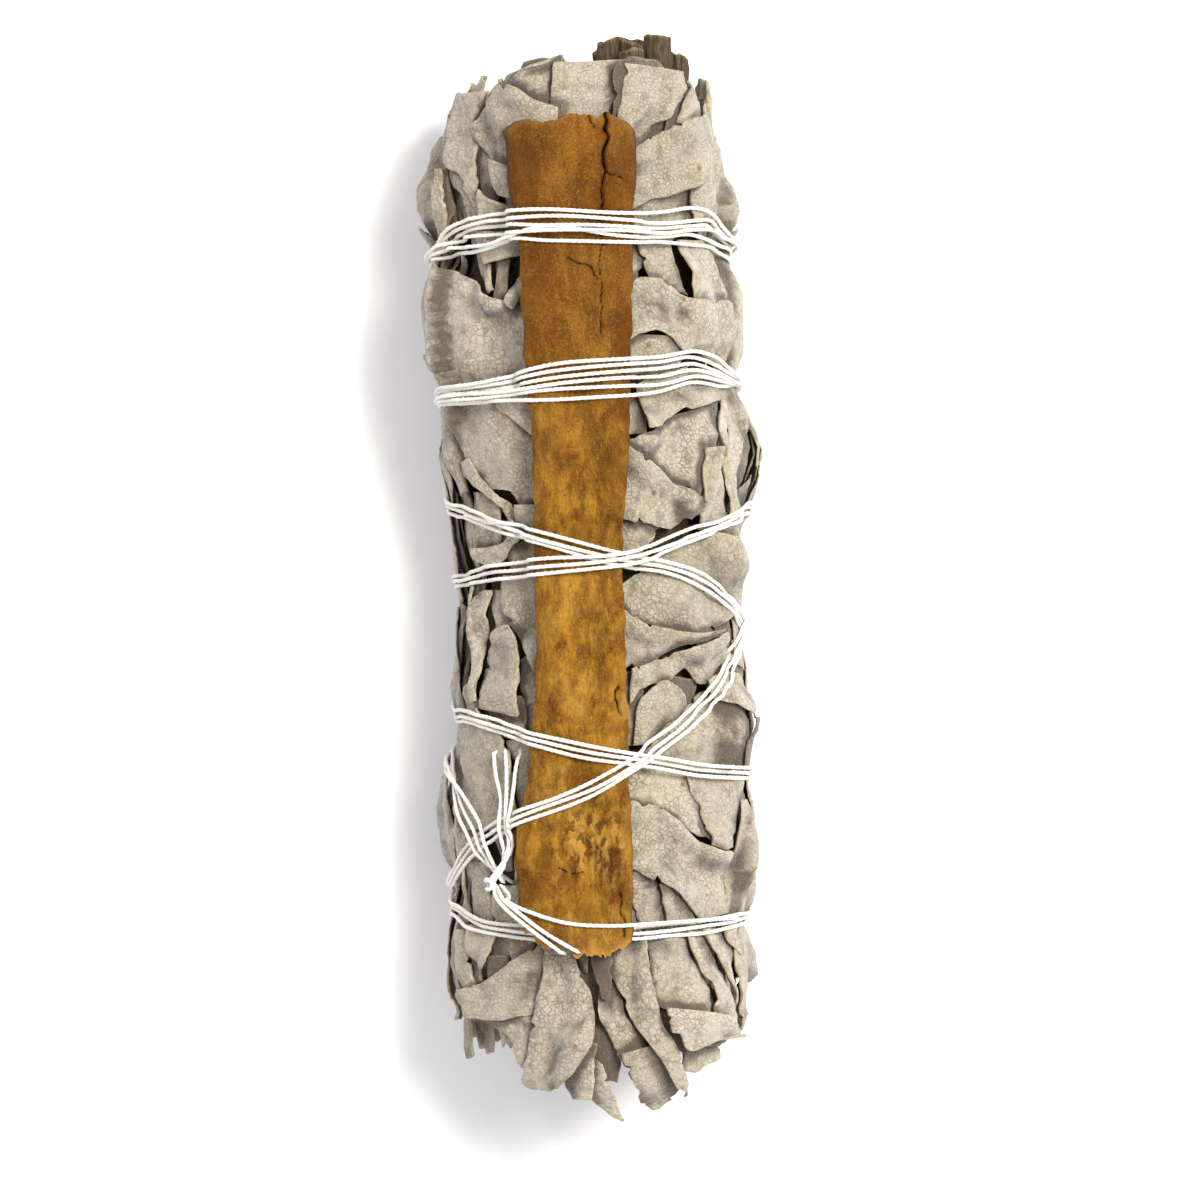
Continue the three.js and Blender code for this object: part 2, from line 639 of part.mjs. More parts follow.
const frontSeam = (y) => seamDirection(angleAt(along(FRONT_SEAM, y, 1), y), y);
const fixedSeam = (angle) => (y) => seamDirection(angle, y);
const BACK_MIDDLE = Math.PI;
const SPRIGS = [
  {
    name: 'front_left',
    leaves: FRONT_LEFT_LEAVES,
    space: [fixedSeam(-SIDE_SEAM), frontSeam],
    ends: endLeaves(11, -1.3, -0.1),
  },
  {
    name: 'front_right',
    leaves: FRONT_RIGHT_LEAVES,
    space: [frontSeam, fixedSeam(SIDE_SEAM)],
    ends: endLeaves(12, 0.2, 1.3),
  },
  {
    name: 'right',
    leaves: rowLeaves(23, 22.5, 2),
    space: [fixedSeam(SIDE_SEAM), fixedSeam(BACK_SEAM)],
    ends: endLeaves(13, 1.5, 2.2),
  },
  {
    name: 'back_right',
    leaves: rowLeaves(34, 34.5, 2),
    space: [fixedSeam(BACK_SEAM), () => BACK_MIDDLE],
    ends: endLeaves(14, 2.35, 3.05),
  },
  {
    name: 'back_left',
    leaves: rowLeaves(45, -34.5, 2),
    space: [() => -BACK_MIDDLE, fixedSeam(-BACK_SEAM)],
    ends: endLeaves(15, -3.05, -2.35),
  },
  {
    name: 'left',
    leaves: rowLeaves(56, -22.5, 2),
    space: [fixedSeam(-BACK_SEAM), fixedSeam(-SIDE_SEAM)],
    ends: endLeaves(16, -2.2, -1.5),
  },
];

// The thread's passes over the front, left to right: the middle strand's [x, y] points and,
// at each, how far its two outer strands lie from it
const FRONT_PASSES = {
  upperFirst: [
    [-16.6, 32.5, 0.3], [-14.3, 34.1, 0.5], [-11.3, 35.1, 0.55], [-4.3, 35.6, 0.6], [2.7, 35, 0.65],
    [6.7, 35.1, 0.8], [10.7, 35.7, 0.8], [14.9, 35.2, 0.4],
  ],
  upperSecond: [
    [-16.6, 32, 0.3], [-14.3, 32.6, 0.45], [-11.3, 33.3, 0.5], [-7.3, 33.9, 0.3], [-4.3, 33.8, 0.6],
    [2.7, 33.6, 0.6], [6.7, 33.6, 0.55], [10.7, 33.9, 0.8], [14.9, 33.3, 0.6],
  ],
  secondFirst: [
    [-16.4, 18.1, 0.3], [-14.3, 18.4, 0.35], [-9.3, 18.9, 0.4], [-3.3, 20.2, 0.65], [2.7, 20.8, 0.6],
    [6.7, 21.1, 0.6], [10.7, 21.7, 0.6], [15.4, 20.9, 0.4],
  ],
  secondSecond: [
    [-16.4, 17.3, 0.3], [-14.3, 17.4, 0.35], [-9.3, 17.7, 0.5], [-3.3, 18.1, 0.7], [2.7, 18.6, 0.8],
    [6.7, 18.9, 0.7], [10.7, 19.8, 0.6], [15.4, 20.1, 0.4],
  ],
  falling: [
    [-14.4, 6.3, 0.35], [-11.3, 5.4, 0.4], [-7.3, 4.4, 0.45], [-1.3, 2.6, 0.45], [2.7, 1.5, 0.4],
    [7.7, 0.6, 0.4], [10.7, -0.3, 0.45], [12.7, -1.5, 0.4], [15.9, -4, 0.35],
  ],
  rising: [
    [-14.6, -0.4, 0.4], [-11.3, 0.1, 0.6], [-7.3, 0.6, 0.6], [-4.3, 0.9, 0.6], [0.7, 1.3, 0.5],
    [2.7, 1.6, 0.45], [5.7, 2.3, 0.45], [10.7, 4.2, 0.4], [16, 6.1, 0.4],
  ],
  lower: [
    [-15.9, -14.1, 0.4], [-12.3, -14.4, 0.45], [-9.3, -15.2, 0.45], [-5.3, -16.3, 0.45],
    [-1.3, -17.4, 0.45],
    [2.7, -18.2, 0.45], [6.7, -18.8, 0.4], [10.7, -19.5, 0.4], [16.2, -19.9, 0.35],
  ],
  steep: [
    [-16, -29.5, 0.5], [-13.3, -27.5, 0.5], [-9.3, -25.2, 0.5], [-6.3, -23.9, 0.5], [-0.3, -21.4, 0.45],
    [2.7, -19.5, 0.45], [5.7, -17.3, 0.45], [8.7, -15.1, 0.45], [12.7, -11.3, 0.4], [16.2, -6.6, 0.35],
  ],
  base: [
    [-15.6, -33.8, 0.5], [-13.3, -34.6, 0.45], [-11.3, -35.1, 0.45], [-6.8, -35.6, 0.45], [-2, -35.7, 0.45],
    [3.9, -35.7, 0.45], [6.7, -35.5, 0.45], [10.7, -35.2, 0.45], [16.4, -34.6, 0.4],
  ],
  toKnot: [
    [-15.9, -21.5, 0.5], [-13.8, -23.7, 0.75], [-12.3, -26, 0.8], [-10.8, -29, 0.5], [-9.2, -30.8, 0.2],
  ],
};

// The passes round the back join the right end of one front pass to the left end of the next
const WINDING = [
  'upperFirst', 'upperSecond', 'secondFirst', 'secondSecond', 'falling', 'rising', 'lower', 'base', 'steep',
  'toKnot',
];
const LOOSE_STRANDS = [
  [
    [-9.2, -30.8], [-7.3, -32.5], [-4.8, -33.7], [-1.8, -34.6], [1.7, -34.8],
    [3.9, -34.7], [8.7, -34.5], [15.5, -34.3],
  ],
  [[-9.2, -30.8], [-6.8, -33], [-4.6, -35], [-2.8, -36.3], [-0.9, -37.5]],
  [[-9.3, -30.9], [-7.2, -33.2], [-5, -35.3], [-3.3, -36.8], [-2.4, -37.6]],
  [[-10.2, -17.3], [-10, -20], [-9.3, -22.5], [-9, -26.5], [-9.2, -30.8]],
  [[-9, -17.3], [-8.7, -20], [-8.5, -23.5], [-8.4, -27], [-9.1, -30.7]],
  [[-7.7, -17.3], [-8, -19.5], [-8, -23.5], [-8.1, -27.5], [-9.1, -30.7]],
];
const THREAD_STEP = 6.9;
const THREAD_FLOOR = THREAD_RADIUS + 0.06;
const STRAND_SPACING = 0.74;

// Stations of a thread along [t, y] points, drawn tight over all that lies below
function threadStations(line) {
  let length = 0;
  for (let i = 1; i < line.length; i += 1) {
    length += Math.hypot(line[i][0] - line[i - 1][0], line[i][1] - line[i - 1][1]);
  }
  const count = Math.max(4, Math.ceil(length / THREAD_STEP) + 1);
  const route = smoothLine(line, count);
  const lift = THREAD_CLEARANCE + THREAD_RADIUS;
  const restAt = ([t, y]) => {
    let highest = 0;
    for (let dt = -0.8; dt <= 0.8; dt += 0.4) {
      for (let dy = -0.8; dy <= 0.8; dy += 0.4) {
        highest = Math.max(highest, heights[cellOf(angleAt(t + dt, y), y + dy)]);
      }
    }
    return highest + lift;
  };
  const pointAt = ([t, y], height) => new THREE.Vector3(...place(angleAt(t, y), y, height, THREAD_FLOOR));
  const support = route.map(restAt);
  const level = [...support];
  for (let round = 0; round < 12; round += 1) {
    for (let i = 1; i + 1 < count; i += 1) {
      level[i] = Math.max(support[i], (level[i - 1] + level[i + 1]) / 2 - 0.1);
    }
  }
  // Straight runs between stations are raised where they would cut into what lies below
  for (let i = 0; i + 1 < count; i += 1) {
    const ends = [i, i + 1].map((k) => pointAt(route[k], level[k]));
    let short = 0;
    for (let s = 0.1; s < 0.95; s += 0.1) {
      const at = [0, 1].map((k) => route[i][k] * (1 - s) + route[i + 1][k] * s);
      const onRun = ends[0].clone().lerp(ends[1], s);
      const angle = angleAt(...at);
      const out = new THREE.Vector3(Math.sin(angle), 0, Math.cos(angle));
      short = Math.max(short, pointAt(at, restAt(at)).sub(onRun).dot(out));
    }
    level[i] += short;
    level[i + 1] += short;
  }
  return route.map(([t, y], i) => ({
    centre: pointAt([t, y], level[i]),
    angle: angleAt(t, y),
    top: level[i] + THREAD_RADIUS,
    at: [t, y],
  }));
}

// What is laid later passes over a thread
function raiseHeights(stations) {
  for (let i = 0; i + 1 < stations.length; i += 1) {
    for (let s = 0; s <= 1; s += 0.05) {
      const t = stations[i].at[0] * (1 - s) + stations[i + 1].at[0] * s;
      const y = stations[i].at[1] * (1 - s) + stations[i + 1].at[1] * s;
      const top = stations[i].top * (1 - s) + stations[i + 1].top * s;
      [-0.5, 0, 0.5].forEach((dy) => {
        const cell = cellOf(angleAt(t, y), y + dy);
        heights[cell] = Math.max(heights[cell], top);
      });
    }
  }
}

const THREAD_SECTION = [[1, 0], [-0.5, 0.87], [-0.5, -0.87]];

// A three-sided thread through stations, whose cross-sections at the cuts are shared
function threadSolids(stations, cuts) {
  const sections = stations.map(({ centre, angle }, i) => {
    const before = stations[Math.max(i - 1, 0)].centre;
    const after = stations[Math.min(i + 1, stations.length - 1)].centre;
    const run = after.clone().sub(before).normalize();
    const out = new THREE.Vector3(Math.sin(angle), 0, Math.cos(angle));
    const side = out.cross(run).normalize();
    const up = run.clone().cross(side).normalize();
    return THREAD_SECTION.map(([u, v]) => centre.clone()
      .addScaledVector(up, u * THREAD_RADIUS).addScaledVector(side, v * THREAD_RADIUS).toArray());
  });
  const solids = [];
  for (let part = 0; part + 1 < cuts.length; part += 1) {
    const points = sections.slice(cuts[part], cuts[part + 1] + 1).flat();
    const sides = THREAD_SECTION.length;
    const last = points.length - sides;
    const triangles = [];
    for (let k = 0; k < sides; k += 1) {
      const next = (k + 1) % sides;
      for (let here = 0; here < last; here += sides) {
        triangles.push([here + k, here + sides + k, here + sides + next]);
        triangles.push([here + k, here + sides + next, here + next]);
      }
    }
    triangles.push([0, 1, 2], [last, last + 2, last + 1]);
    const solid = solidOf(points, triangles);
    solids.push(solid.volume() > 0 ? solid : solidOf(points, triangles.map(([p, q, r]) => [p, r, q])));
  }
  return solids;
}

// One strand of a front pass: its middle line moved across by its spread
function strandOf(pass, k) {
  return pass.map(([x, y, spread], i) => {
    const before = pass[Math.max(i - 1, 0)];
    const after = pass[Math.min(i + 1, pass.length - 1)];
    const run = Math.hypot(after[0] - before[0], after[1] - before[1]);
    const across = [-(after[1] - before[1]) / run, (after[0] - before[0]) / run];
    const room = Math.max(spread * 1.2, STRAND_SPACING);
    return [x + across[0] * k * room, y + across[1] * k * room];
  });
}

// The way round the back from the right end of one pass to the left end of the next
const BACK_MIDDLE_T = 41.5;
function backPass(from, to) {
  const turn = 2 * BACK_MIDDLE_T;
  return [0, 0.25, 0.5, 0.75, 1].map((s) => [
    from[0] + (to[0] + turn - from[0]) * s,
    from[1] + (to[1] - from[1]) * s,
  ]);
}

// The bark strip: left and right edge at each station along it, [y, left, right]
const BARK_EDGES = [
  [45.7, -3.2, 1.6], [45.2, -6.6, 2.6], [44, -8.1, 3.4], [40, -8.2, 4.1], [30, -7.2, 3.9],
  [22.5, -6.9, 3.8],
  [12.5, -6, 3.5], [2.5, -5.8, 2.9], [-7.5, -5.6, 3.2], [-17.5, -6.3, 3.6], [-27.5, -7.7, 3.9],
  [-32.5, -7.4, 3.8], [-36.4, -6.6, 3.7], [-37.6, -4.6, 3.2],
];
function barkSolid() {
  const cells = new Set();
  for (let y = BARK_EDGES.at(-1)[0]; y <= BARK_EDGES[0][0]; y += 0.3) {
    for (let k = 0; k <= 40; k += 1) {
      const left = along(BARK_EDGES, y, 1) - 0.6;
      const right = along(BARK_EDGES, y, 2) + 0.6;
      cells.add(cellOf(angleAt(left + (right - left) * (k / 40), y), y));
    }
  }
  const sheet = tautSheet([...cells], 260, BARK_LIFT);
  const columns = 7;
  const outer = [];
  const inner = [];
  const stations = [];
  for (let i = 0; i + 1 < BARK_EDGES.length; i += 1) {
    const [from, to] = [BARK_EDGES[i][0], BARK_EDGES[i + 1][0]];
    stations.push(from);
    const extra = Math.floor((from - to) / 4);
    for (let k = 1; k <= extra; k += 1) {
      stations.push(from + (to - from) * (k / (extra + 1)));
    }
  }
  stations.push(BARK_EDGES.at(-1)[0]);
  stations.forEach((y) => {
    const left = along(BARK_EDGES, y, 1);
    const right = along(BARK_EDGES, y, 2);
    outer.push([]);
    inner.push([]);
    for (let j = 0; j < columns; j += 1) {
      const x = left + (right - left) * (j / (columns - 1));
      const angle = angleAt(x, y);
      const level = sheet.get(cellOf(angle, y)) ?? heights[cellOf(angle, y)] + BARK_LIFT;
      outer.at(-1).push(place(angle, y, level + BARK_THICKNESS));
      inner.at(-1).push(place(angle, y, level + 0.08));
    }
  });
  cells.forEach((cell) => {
    heights[cell] = Math.max(heights[cell], sheet.get(cell) + BARK_THICKNESS);
  });
  return sheetSolid(outer, inner);
}

// The split that runs down from the bark's top end, a narrow wedge of air
function barkSplit() {
  const top = 46.5;
  const above = BUNDLE_AXIS_HEIGHT + 30;
  const line = [[1.25, top, 0.3], [1.0, 42.3, 0.28], [0.9, 38, 0.2], [0.95, 35.9, 0.08]];
  const cutAt = (z) => line.map(([x, y, half]) => [[x - half, y, z], [x + half, y, z]]);
  return sheetSolid(cutAt(above), cutAt(BUNDLE_AXIS_HEIGHT));
}

// Cut sage stems at the top end: [sprig, x, height against the axis, radius, top y]
const STEMS = [
  ['left', 1.5, 0.4, 0.85, 54.0],
  ['front_left', 3.9, 2.5, 0.95, 52.8],
  ['front_right', 6.5, 0.3, 1.1, 54.3],
  ['right', 8.6, -1.6, 0.8, 52.5],
  ['back_right', 3.95, -0.4, 1.2, 53.8],
  ['back_left', 1.0, -2.3, 0.8, 53.0],
];
const STEM_FOOT = 12;

// A rod along Y whose sides are grooved as a square stem's are
function rodSolid(x, z, radius, groove, foot, top) {
  const shape = new THREE.Shape();
  const sides = 12;
  for (let k = 0; k < sides; k += 1) {
    const turn = (k / sides) * 2 * Math.PI;
    const reach = radius * (k % 3 === 0 ? 1 - groove : 1);
    const method = k === 0 ? 'moveTo' : 'lineTo';
    shape[method](reach * Math.cos(turn), reach * Math.sin(turn));
  }
  const geometry = new THREE.ExtrudeGeometry(shape, { depth: top - foot, bevelEnabled: false });
  geometry.rotateX(-Math.PI / 2);
  geometry.translate(x, foot, z);
  geometry.deleteAttribute('normal');
  geometry.deleteAttribute('uv');
  const merged = mergeVertices(geometry, 1e-5);
  return new wasm.Manifold(new wasm.Mesh({
    numProp: 3,
    vertProperties: new Float32Array(merged.attributes.position.array),
    triVerts: new Uint32Array(merged.index.array),
  }));
}

// Only the one body that holds together stays; loose scraps and sealed hollows go
function mainBody(solid) {
  return solid.decompose().reduce((best, piece) => (piece.volume() > best.volume() ? piece : best));
}

// Edges along which a solid touches itself, as pairs of points
const WELD = 1e-3;
function pinchedEdges(solid) {
  const { vertProperties, triVerts } = solid.getMesh();
  const corner = (i) => Array.from(vertProperties.slice(3 * i, 3 * i + 3));
  const keyOf = (i) => corner(i).map((v) => Math.round(v / WELD)).join(' ');
  const faces = new Map();
  for (let i = 0; i < triVerts.length; i += 3) {
    const ids = [0, 1, 2].map((k) => triVerts[i + k]);
    const keys = ids.map(keyOf);
    const isSliver = new Set(keys).size < 3;
    for (let k = 0; k < 3 && !isSliver; k += 1) {
      const m = (k + 1) % 3;
      const edge = [keys[k], keys[m]].sort().join('|');
      const seen = faces.get(edge) ?? { count: 0, ends: [corner(ids[k]), corner(ids[m])] };
      seen.count += 1;
      faces.set(edge, seen);
    }
  }
  return [...faces.values()].filter(({ count }) => count !== 2).map(({ ends }) => ends);
}

// A thin spindle along an edge, a little longer than the edge
const SPINDLE = 0.07;
function spindleSolid([from, to]) {
  const start = new THREE.Vector3(...from);
  const end = new THREE.Vector3(...to);
  const run = end.clone().sub(start).normalize();
  const side = new THREE.Vector3(0.3, 0.5, 0.8).cross(run).normalize();
  const up = run.clone().cross(side);
  const centre = start.clone().add(end).multiplyScalar(0.5);
  const belt = [0, 1, 2, 3].map((k) => centre.clone()
    .addScaledVector(side, SPINDLE * Math.cos(k * Math.PI / 2))
    .addScaledVector(up, SPINDLE * Math.sin(k * Math.PI / 2)).toArray());
  start.addScaledVector(run, -SPINDLE);
  end.addScaledVector(run, SPINDLE);
  const points = [start.toArray(), end.toArray(), ...belt];
  const triangles = [0, 1, 2, 3].flatMap((k) => {
    const next = (k + 1) % 4;
    return [[0, 2 + next, 2 + k], [1, 2 + k, 2 + next]];
  });
  return solidOf(points, triangles);
}

function withoutPinches(solid) {
  let mended = solid;
  for (let round = 0; round < 8; round += 1) {
    const edges = pinchedEdges(mended);
    if (edges.length === 0) break;
    edges.forEach((edge) => {
      mended = mended.add(spindleSolid(edge));
    });
    mended = mended.simplify(SLIVER);
  }
  return mended;
}

const bundleGroup = new THREE.Group();

function addPiece(name, solid, colour, roughness) {
  const mesh = mainBody(withoutPinches(solid.simplify(SLIVER))).getMesh();
  const geometry = new THREE.BufferGeometry();
  geometry.setAttribute('position', new THREE.BufferAttribute(mesh.vertProperties, 3));
  geometry.setIndex(new THREE.BufferAttribute(mesh.triVerts, 1));
  geometry.computeVertexNormals();
  const material = new THREE.MeshStandardMaterial({ color: colour, roughness, metalness: 0 });
  const piece = new THREE.Mesh(geometry, material);
  piece.name = name;
  bundleGroup.add(piece);
}

// Broad pressed leaves low on the back, on whose flat undersides the bundle rests
const REST_LEAVES = {
  back_right: [[35, 7], [35, -19]],
  back_left: [[-35, 5.5], [-35, -22]],
};
const REST_LIFT = 3.9;
function restLeafSolid([t, y]) {
  const outer = [];
  const inner = [];
  for (let i = 0; i < 7; i += 1) {
    const s = i / 6;
    const half = 3.6 * (0.35 + 0.65 * Math.sin(Math.PI * s));
    outer.push([]);
    inner.push([]);
    for (let j = 0; j < 5; j += 1) {
      const v = j / 2 - 1;
      const at = [t + v * half, y + (s - 0.5) * 8.4];
      const angle = angleAt(...at);
      const isRim = i === 0 || i === 6 || j === 0 || j === 4;
      const below = heights[cellOf(angle, at[1])];
      outer[i].push(place(angle, at[1], isRim ? below + 1.2 : below + REST_LIFT, 0));
      inner[i].push(place(angle, at[1], below - SINK, BLADE));
    }
  }
  return sheetSolid(outer, inner);
}

const middle = middleSolid();
const rods = STEMS.map(([, x, rise, radius, top]) => (
  rodSolid(x, BUNDLE_AXIS_HEIGHT + rise, radius, 0.12, STEM_FOOT, top)));
const holes = STEMS.map(([, x, rise, radius]) => (
  rodSolid(x, BUNDLE_AXIS_HEIGHT + rise, radius + STEM_CLEARANCE, 0, STEM_FOOT - 0.5, 60)));

SPRIGS.forEach(({ name, leaves, space, ends }) => {
  let sprig = middle;
  ends.forEach((leaf) => {
    sprig = sprig.add(endLeafSolid(leaf));
  });
  leaves.forEach((leaf) => {
    sprig = sprig.add(leafSolid(leaf));
  });
  (REST_LEAVES[name] ?? []).forEach((spot) => {
    sprig = sprig.add(restLeafSolid(spot));
  });
  sprig = sprig.intersect(sprigSpace(...space));
  holes.forEach((hole) => {
    sprig = sprig.subtract(hole);
  });
  addPiece(`sage_leaves_${name}`, sprig, COLOURS.leaf, 0.9);
});
STEMS.forEach(([name], i) => addPiece(`sage_stem_${name}`, rods[i], COLOURS.stem, 0.85));

const SIDE_STRANDS = [-1, 0, 1];
const baseStations = SIDE_STRANDS.map((k) => threadStations(strandOf(FRONT_PASSES.base, k)));
baseStations.forEach(raiseHeights);
const bark = barkSolid().subtract(barkSplit());
addPiece('cinnamon_bark', bark, COLOURS.bark, 0.75);

let thread = null;
const joinThread = (solid) => {
  thread = thread ? thread.add(solid) : solid;
};
SIDE_STRANDS.forEach((k, strand) => {
  const stations = [];
  const cuts = [0];
  WINDING.forEach((name, i) => {
    const line = strandOf(FRONT_PASSES[name], k);
    const front = name === 'base' ? baseStations[strand] : threadStations(line);
    stations.push(...front);
    if (i + 1 < WINDING.length) {
      const start = strandOf(FRONT_PASSES[WINDING[i + 1]], k)[0];
      const back = threadStations(backPass(line.at(-1), start)).slice(1, -1);
      cuts.push(stations.length + Math.floor(back.length / 2));
      stations.push(...back);
    }
  });
  cuts.push(stations.length - 1);
  threadSolids(stations, cuts).forEach(joinThread);
});
LOOSE_STRANDS.forEach((line) => {
  const stations = threadStations(line);
  threadSolids(stations, [0, stations.length - 1]).forEach(joinThread);
});
addPiece('cotton_thread', thread, COLOURS.thread, 0.9);

// The part's origin lies under the middle of its box, on the surface
const box = new THREE.Box3().setFromObject(bundleGroup);
bundleGroup.position.set(-(box.min.x + box.max.x) / 2, -(box.min.y + box.max.y) / 2, -box.min.z);
const smudgeStick = new THREE.Group();
smudgeStick.add(bundleGroup);

export default smudgeStick;
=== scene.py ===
"""Looks of a sage smudge stick: dried leaves, cut stems, a cinnamon bark strip and cotton thread.

Shapes are laid out in millimetres on the same unrolled bundle as the part's solids, and meshes
are in metres in the part's frame. The bundle lies along Y, its stem end at +Y and its front up.
"""

import logging
import math
from collections.abc import Callable, Sequence
from dataclasses import dataclass, field
from enum import Enum

import bpy
import numpy as np
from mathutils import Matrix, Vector
from numpy.typing import NDArray

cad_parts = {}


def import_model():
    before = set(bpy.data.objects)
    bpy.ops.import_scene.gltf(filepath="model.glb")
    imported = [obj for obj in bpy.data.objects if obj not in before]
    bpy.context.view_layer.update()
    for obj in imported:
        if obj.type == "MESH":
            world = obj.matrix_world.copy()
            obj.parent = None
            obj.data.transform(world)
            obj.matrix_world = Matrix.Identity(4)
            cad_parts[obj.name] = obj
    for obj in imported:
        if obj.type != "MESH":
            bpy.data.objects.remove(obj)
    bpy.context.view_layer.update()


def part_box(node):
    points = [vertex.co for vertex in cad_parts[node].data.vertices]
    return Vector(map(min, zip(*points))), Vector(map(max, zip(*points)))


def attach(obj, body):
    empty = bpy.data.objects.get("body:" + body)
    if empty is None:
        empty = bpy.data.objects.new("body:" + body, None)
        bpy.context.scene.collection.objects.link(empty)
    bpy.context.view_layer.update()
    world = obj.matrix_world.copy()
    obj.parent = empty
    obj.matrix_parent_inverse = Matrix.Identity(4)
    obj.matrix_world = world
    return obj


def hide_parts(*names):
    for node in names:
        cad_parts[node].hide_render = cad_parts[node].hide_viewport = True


log = logging.getLogger("smudge_stick")

Array = NDArray[np.float64]
Point = tuple[float, float]

MM = 0.001

# The unrolled bundle, as in the part's source
LEAF_DEPTH = 1.6
FLATTENING = 0.84
AXIS_HEIGHT = 14.3
SIDE_SHARE = 0.94
SIDE_RADIUS = 14.0
STEM_FOOT = 12.0
SIDE_PACKING = 0.5

# Outline of the bundle from the front: y, left x, right x
OUTLINE = np.array([
    (56, -13.8, 12.3), (50, -15.6, 13.6), (46, -16.2, 14.0), (41, -16.8, 14.5), (37, -16.8, 14.3),
    (32.5, -16.0, 13.9), (27.5, -17.2, 14.8), (22.5, -16.9, 15.2), (18.2, -15.7, 14.8),
    (12.5, -15.7, 16.2), (7.5, -14.8, 15.4), (2.5, -13.9, 15.2), (-2.5, -13.9, 15.4),
    (-7.5, -14.2, 15.6), (-14.2, -15.1, 16.0), (-19.8, -15.2, 15.6), (-24, -15.2, 15.8),
    (-29.5, -15.1, 16.1), (-34.2, -15.1, 16.1), (-39, -15.2, 16.8), (-45, -15.6, 17.2),
    (-56, -13.5, 14.5),
])

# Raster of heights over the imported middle
ROUND_CELLS = 720
LONG_CELL = 0.2
LONG_START = -58.0
LONG_CELLS = 580
FIRST_HEIGHT = -0.95


class Look(Enum):
    """How a leaf looks: its brightness and how brown it is. SHADED is painted shade, darker and browner, for leaves
    that lie in shadow; BROWN is darker and browner still.
    """

    GREY = (0.0, 0.0)
    CREAM = (0.9, 0.0)
    SHADED = (-0.5, 0.35)
    BROWN = (-0.6, 0.85)


@dataclass(frozen=True)
class Leaf:
    """One leaf on the unrolled bundle.

    Attributes:
        left: Points of one edge, from base to tip, in millimetres.
        right: Points of the other edge, from base to tip.
        look: How it looks; Look.SHADED is painted shade.
        lift: Extra height over what carries it.
        curl: Rise of the left edge and of the right edge, None for a drawn value.
    """

    left: Sequence[Point]
    right: Sequence[Point]
    look: Look = Look.GREY
    lift: float = 0.0
    curl: tuple[float, float] | None = None


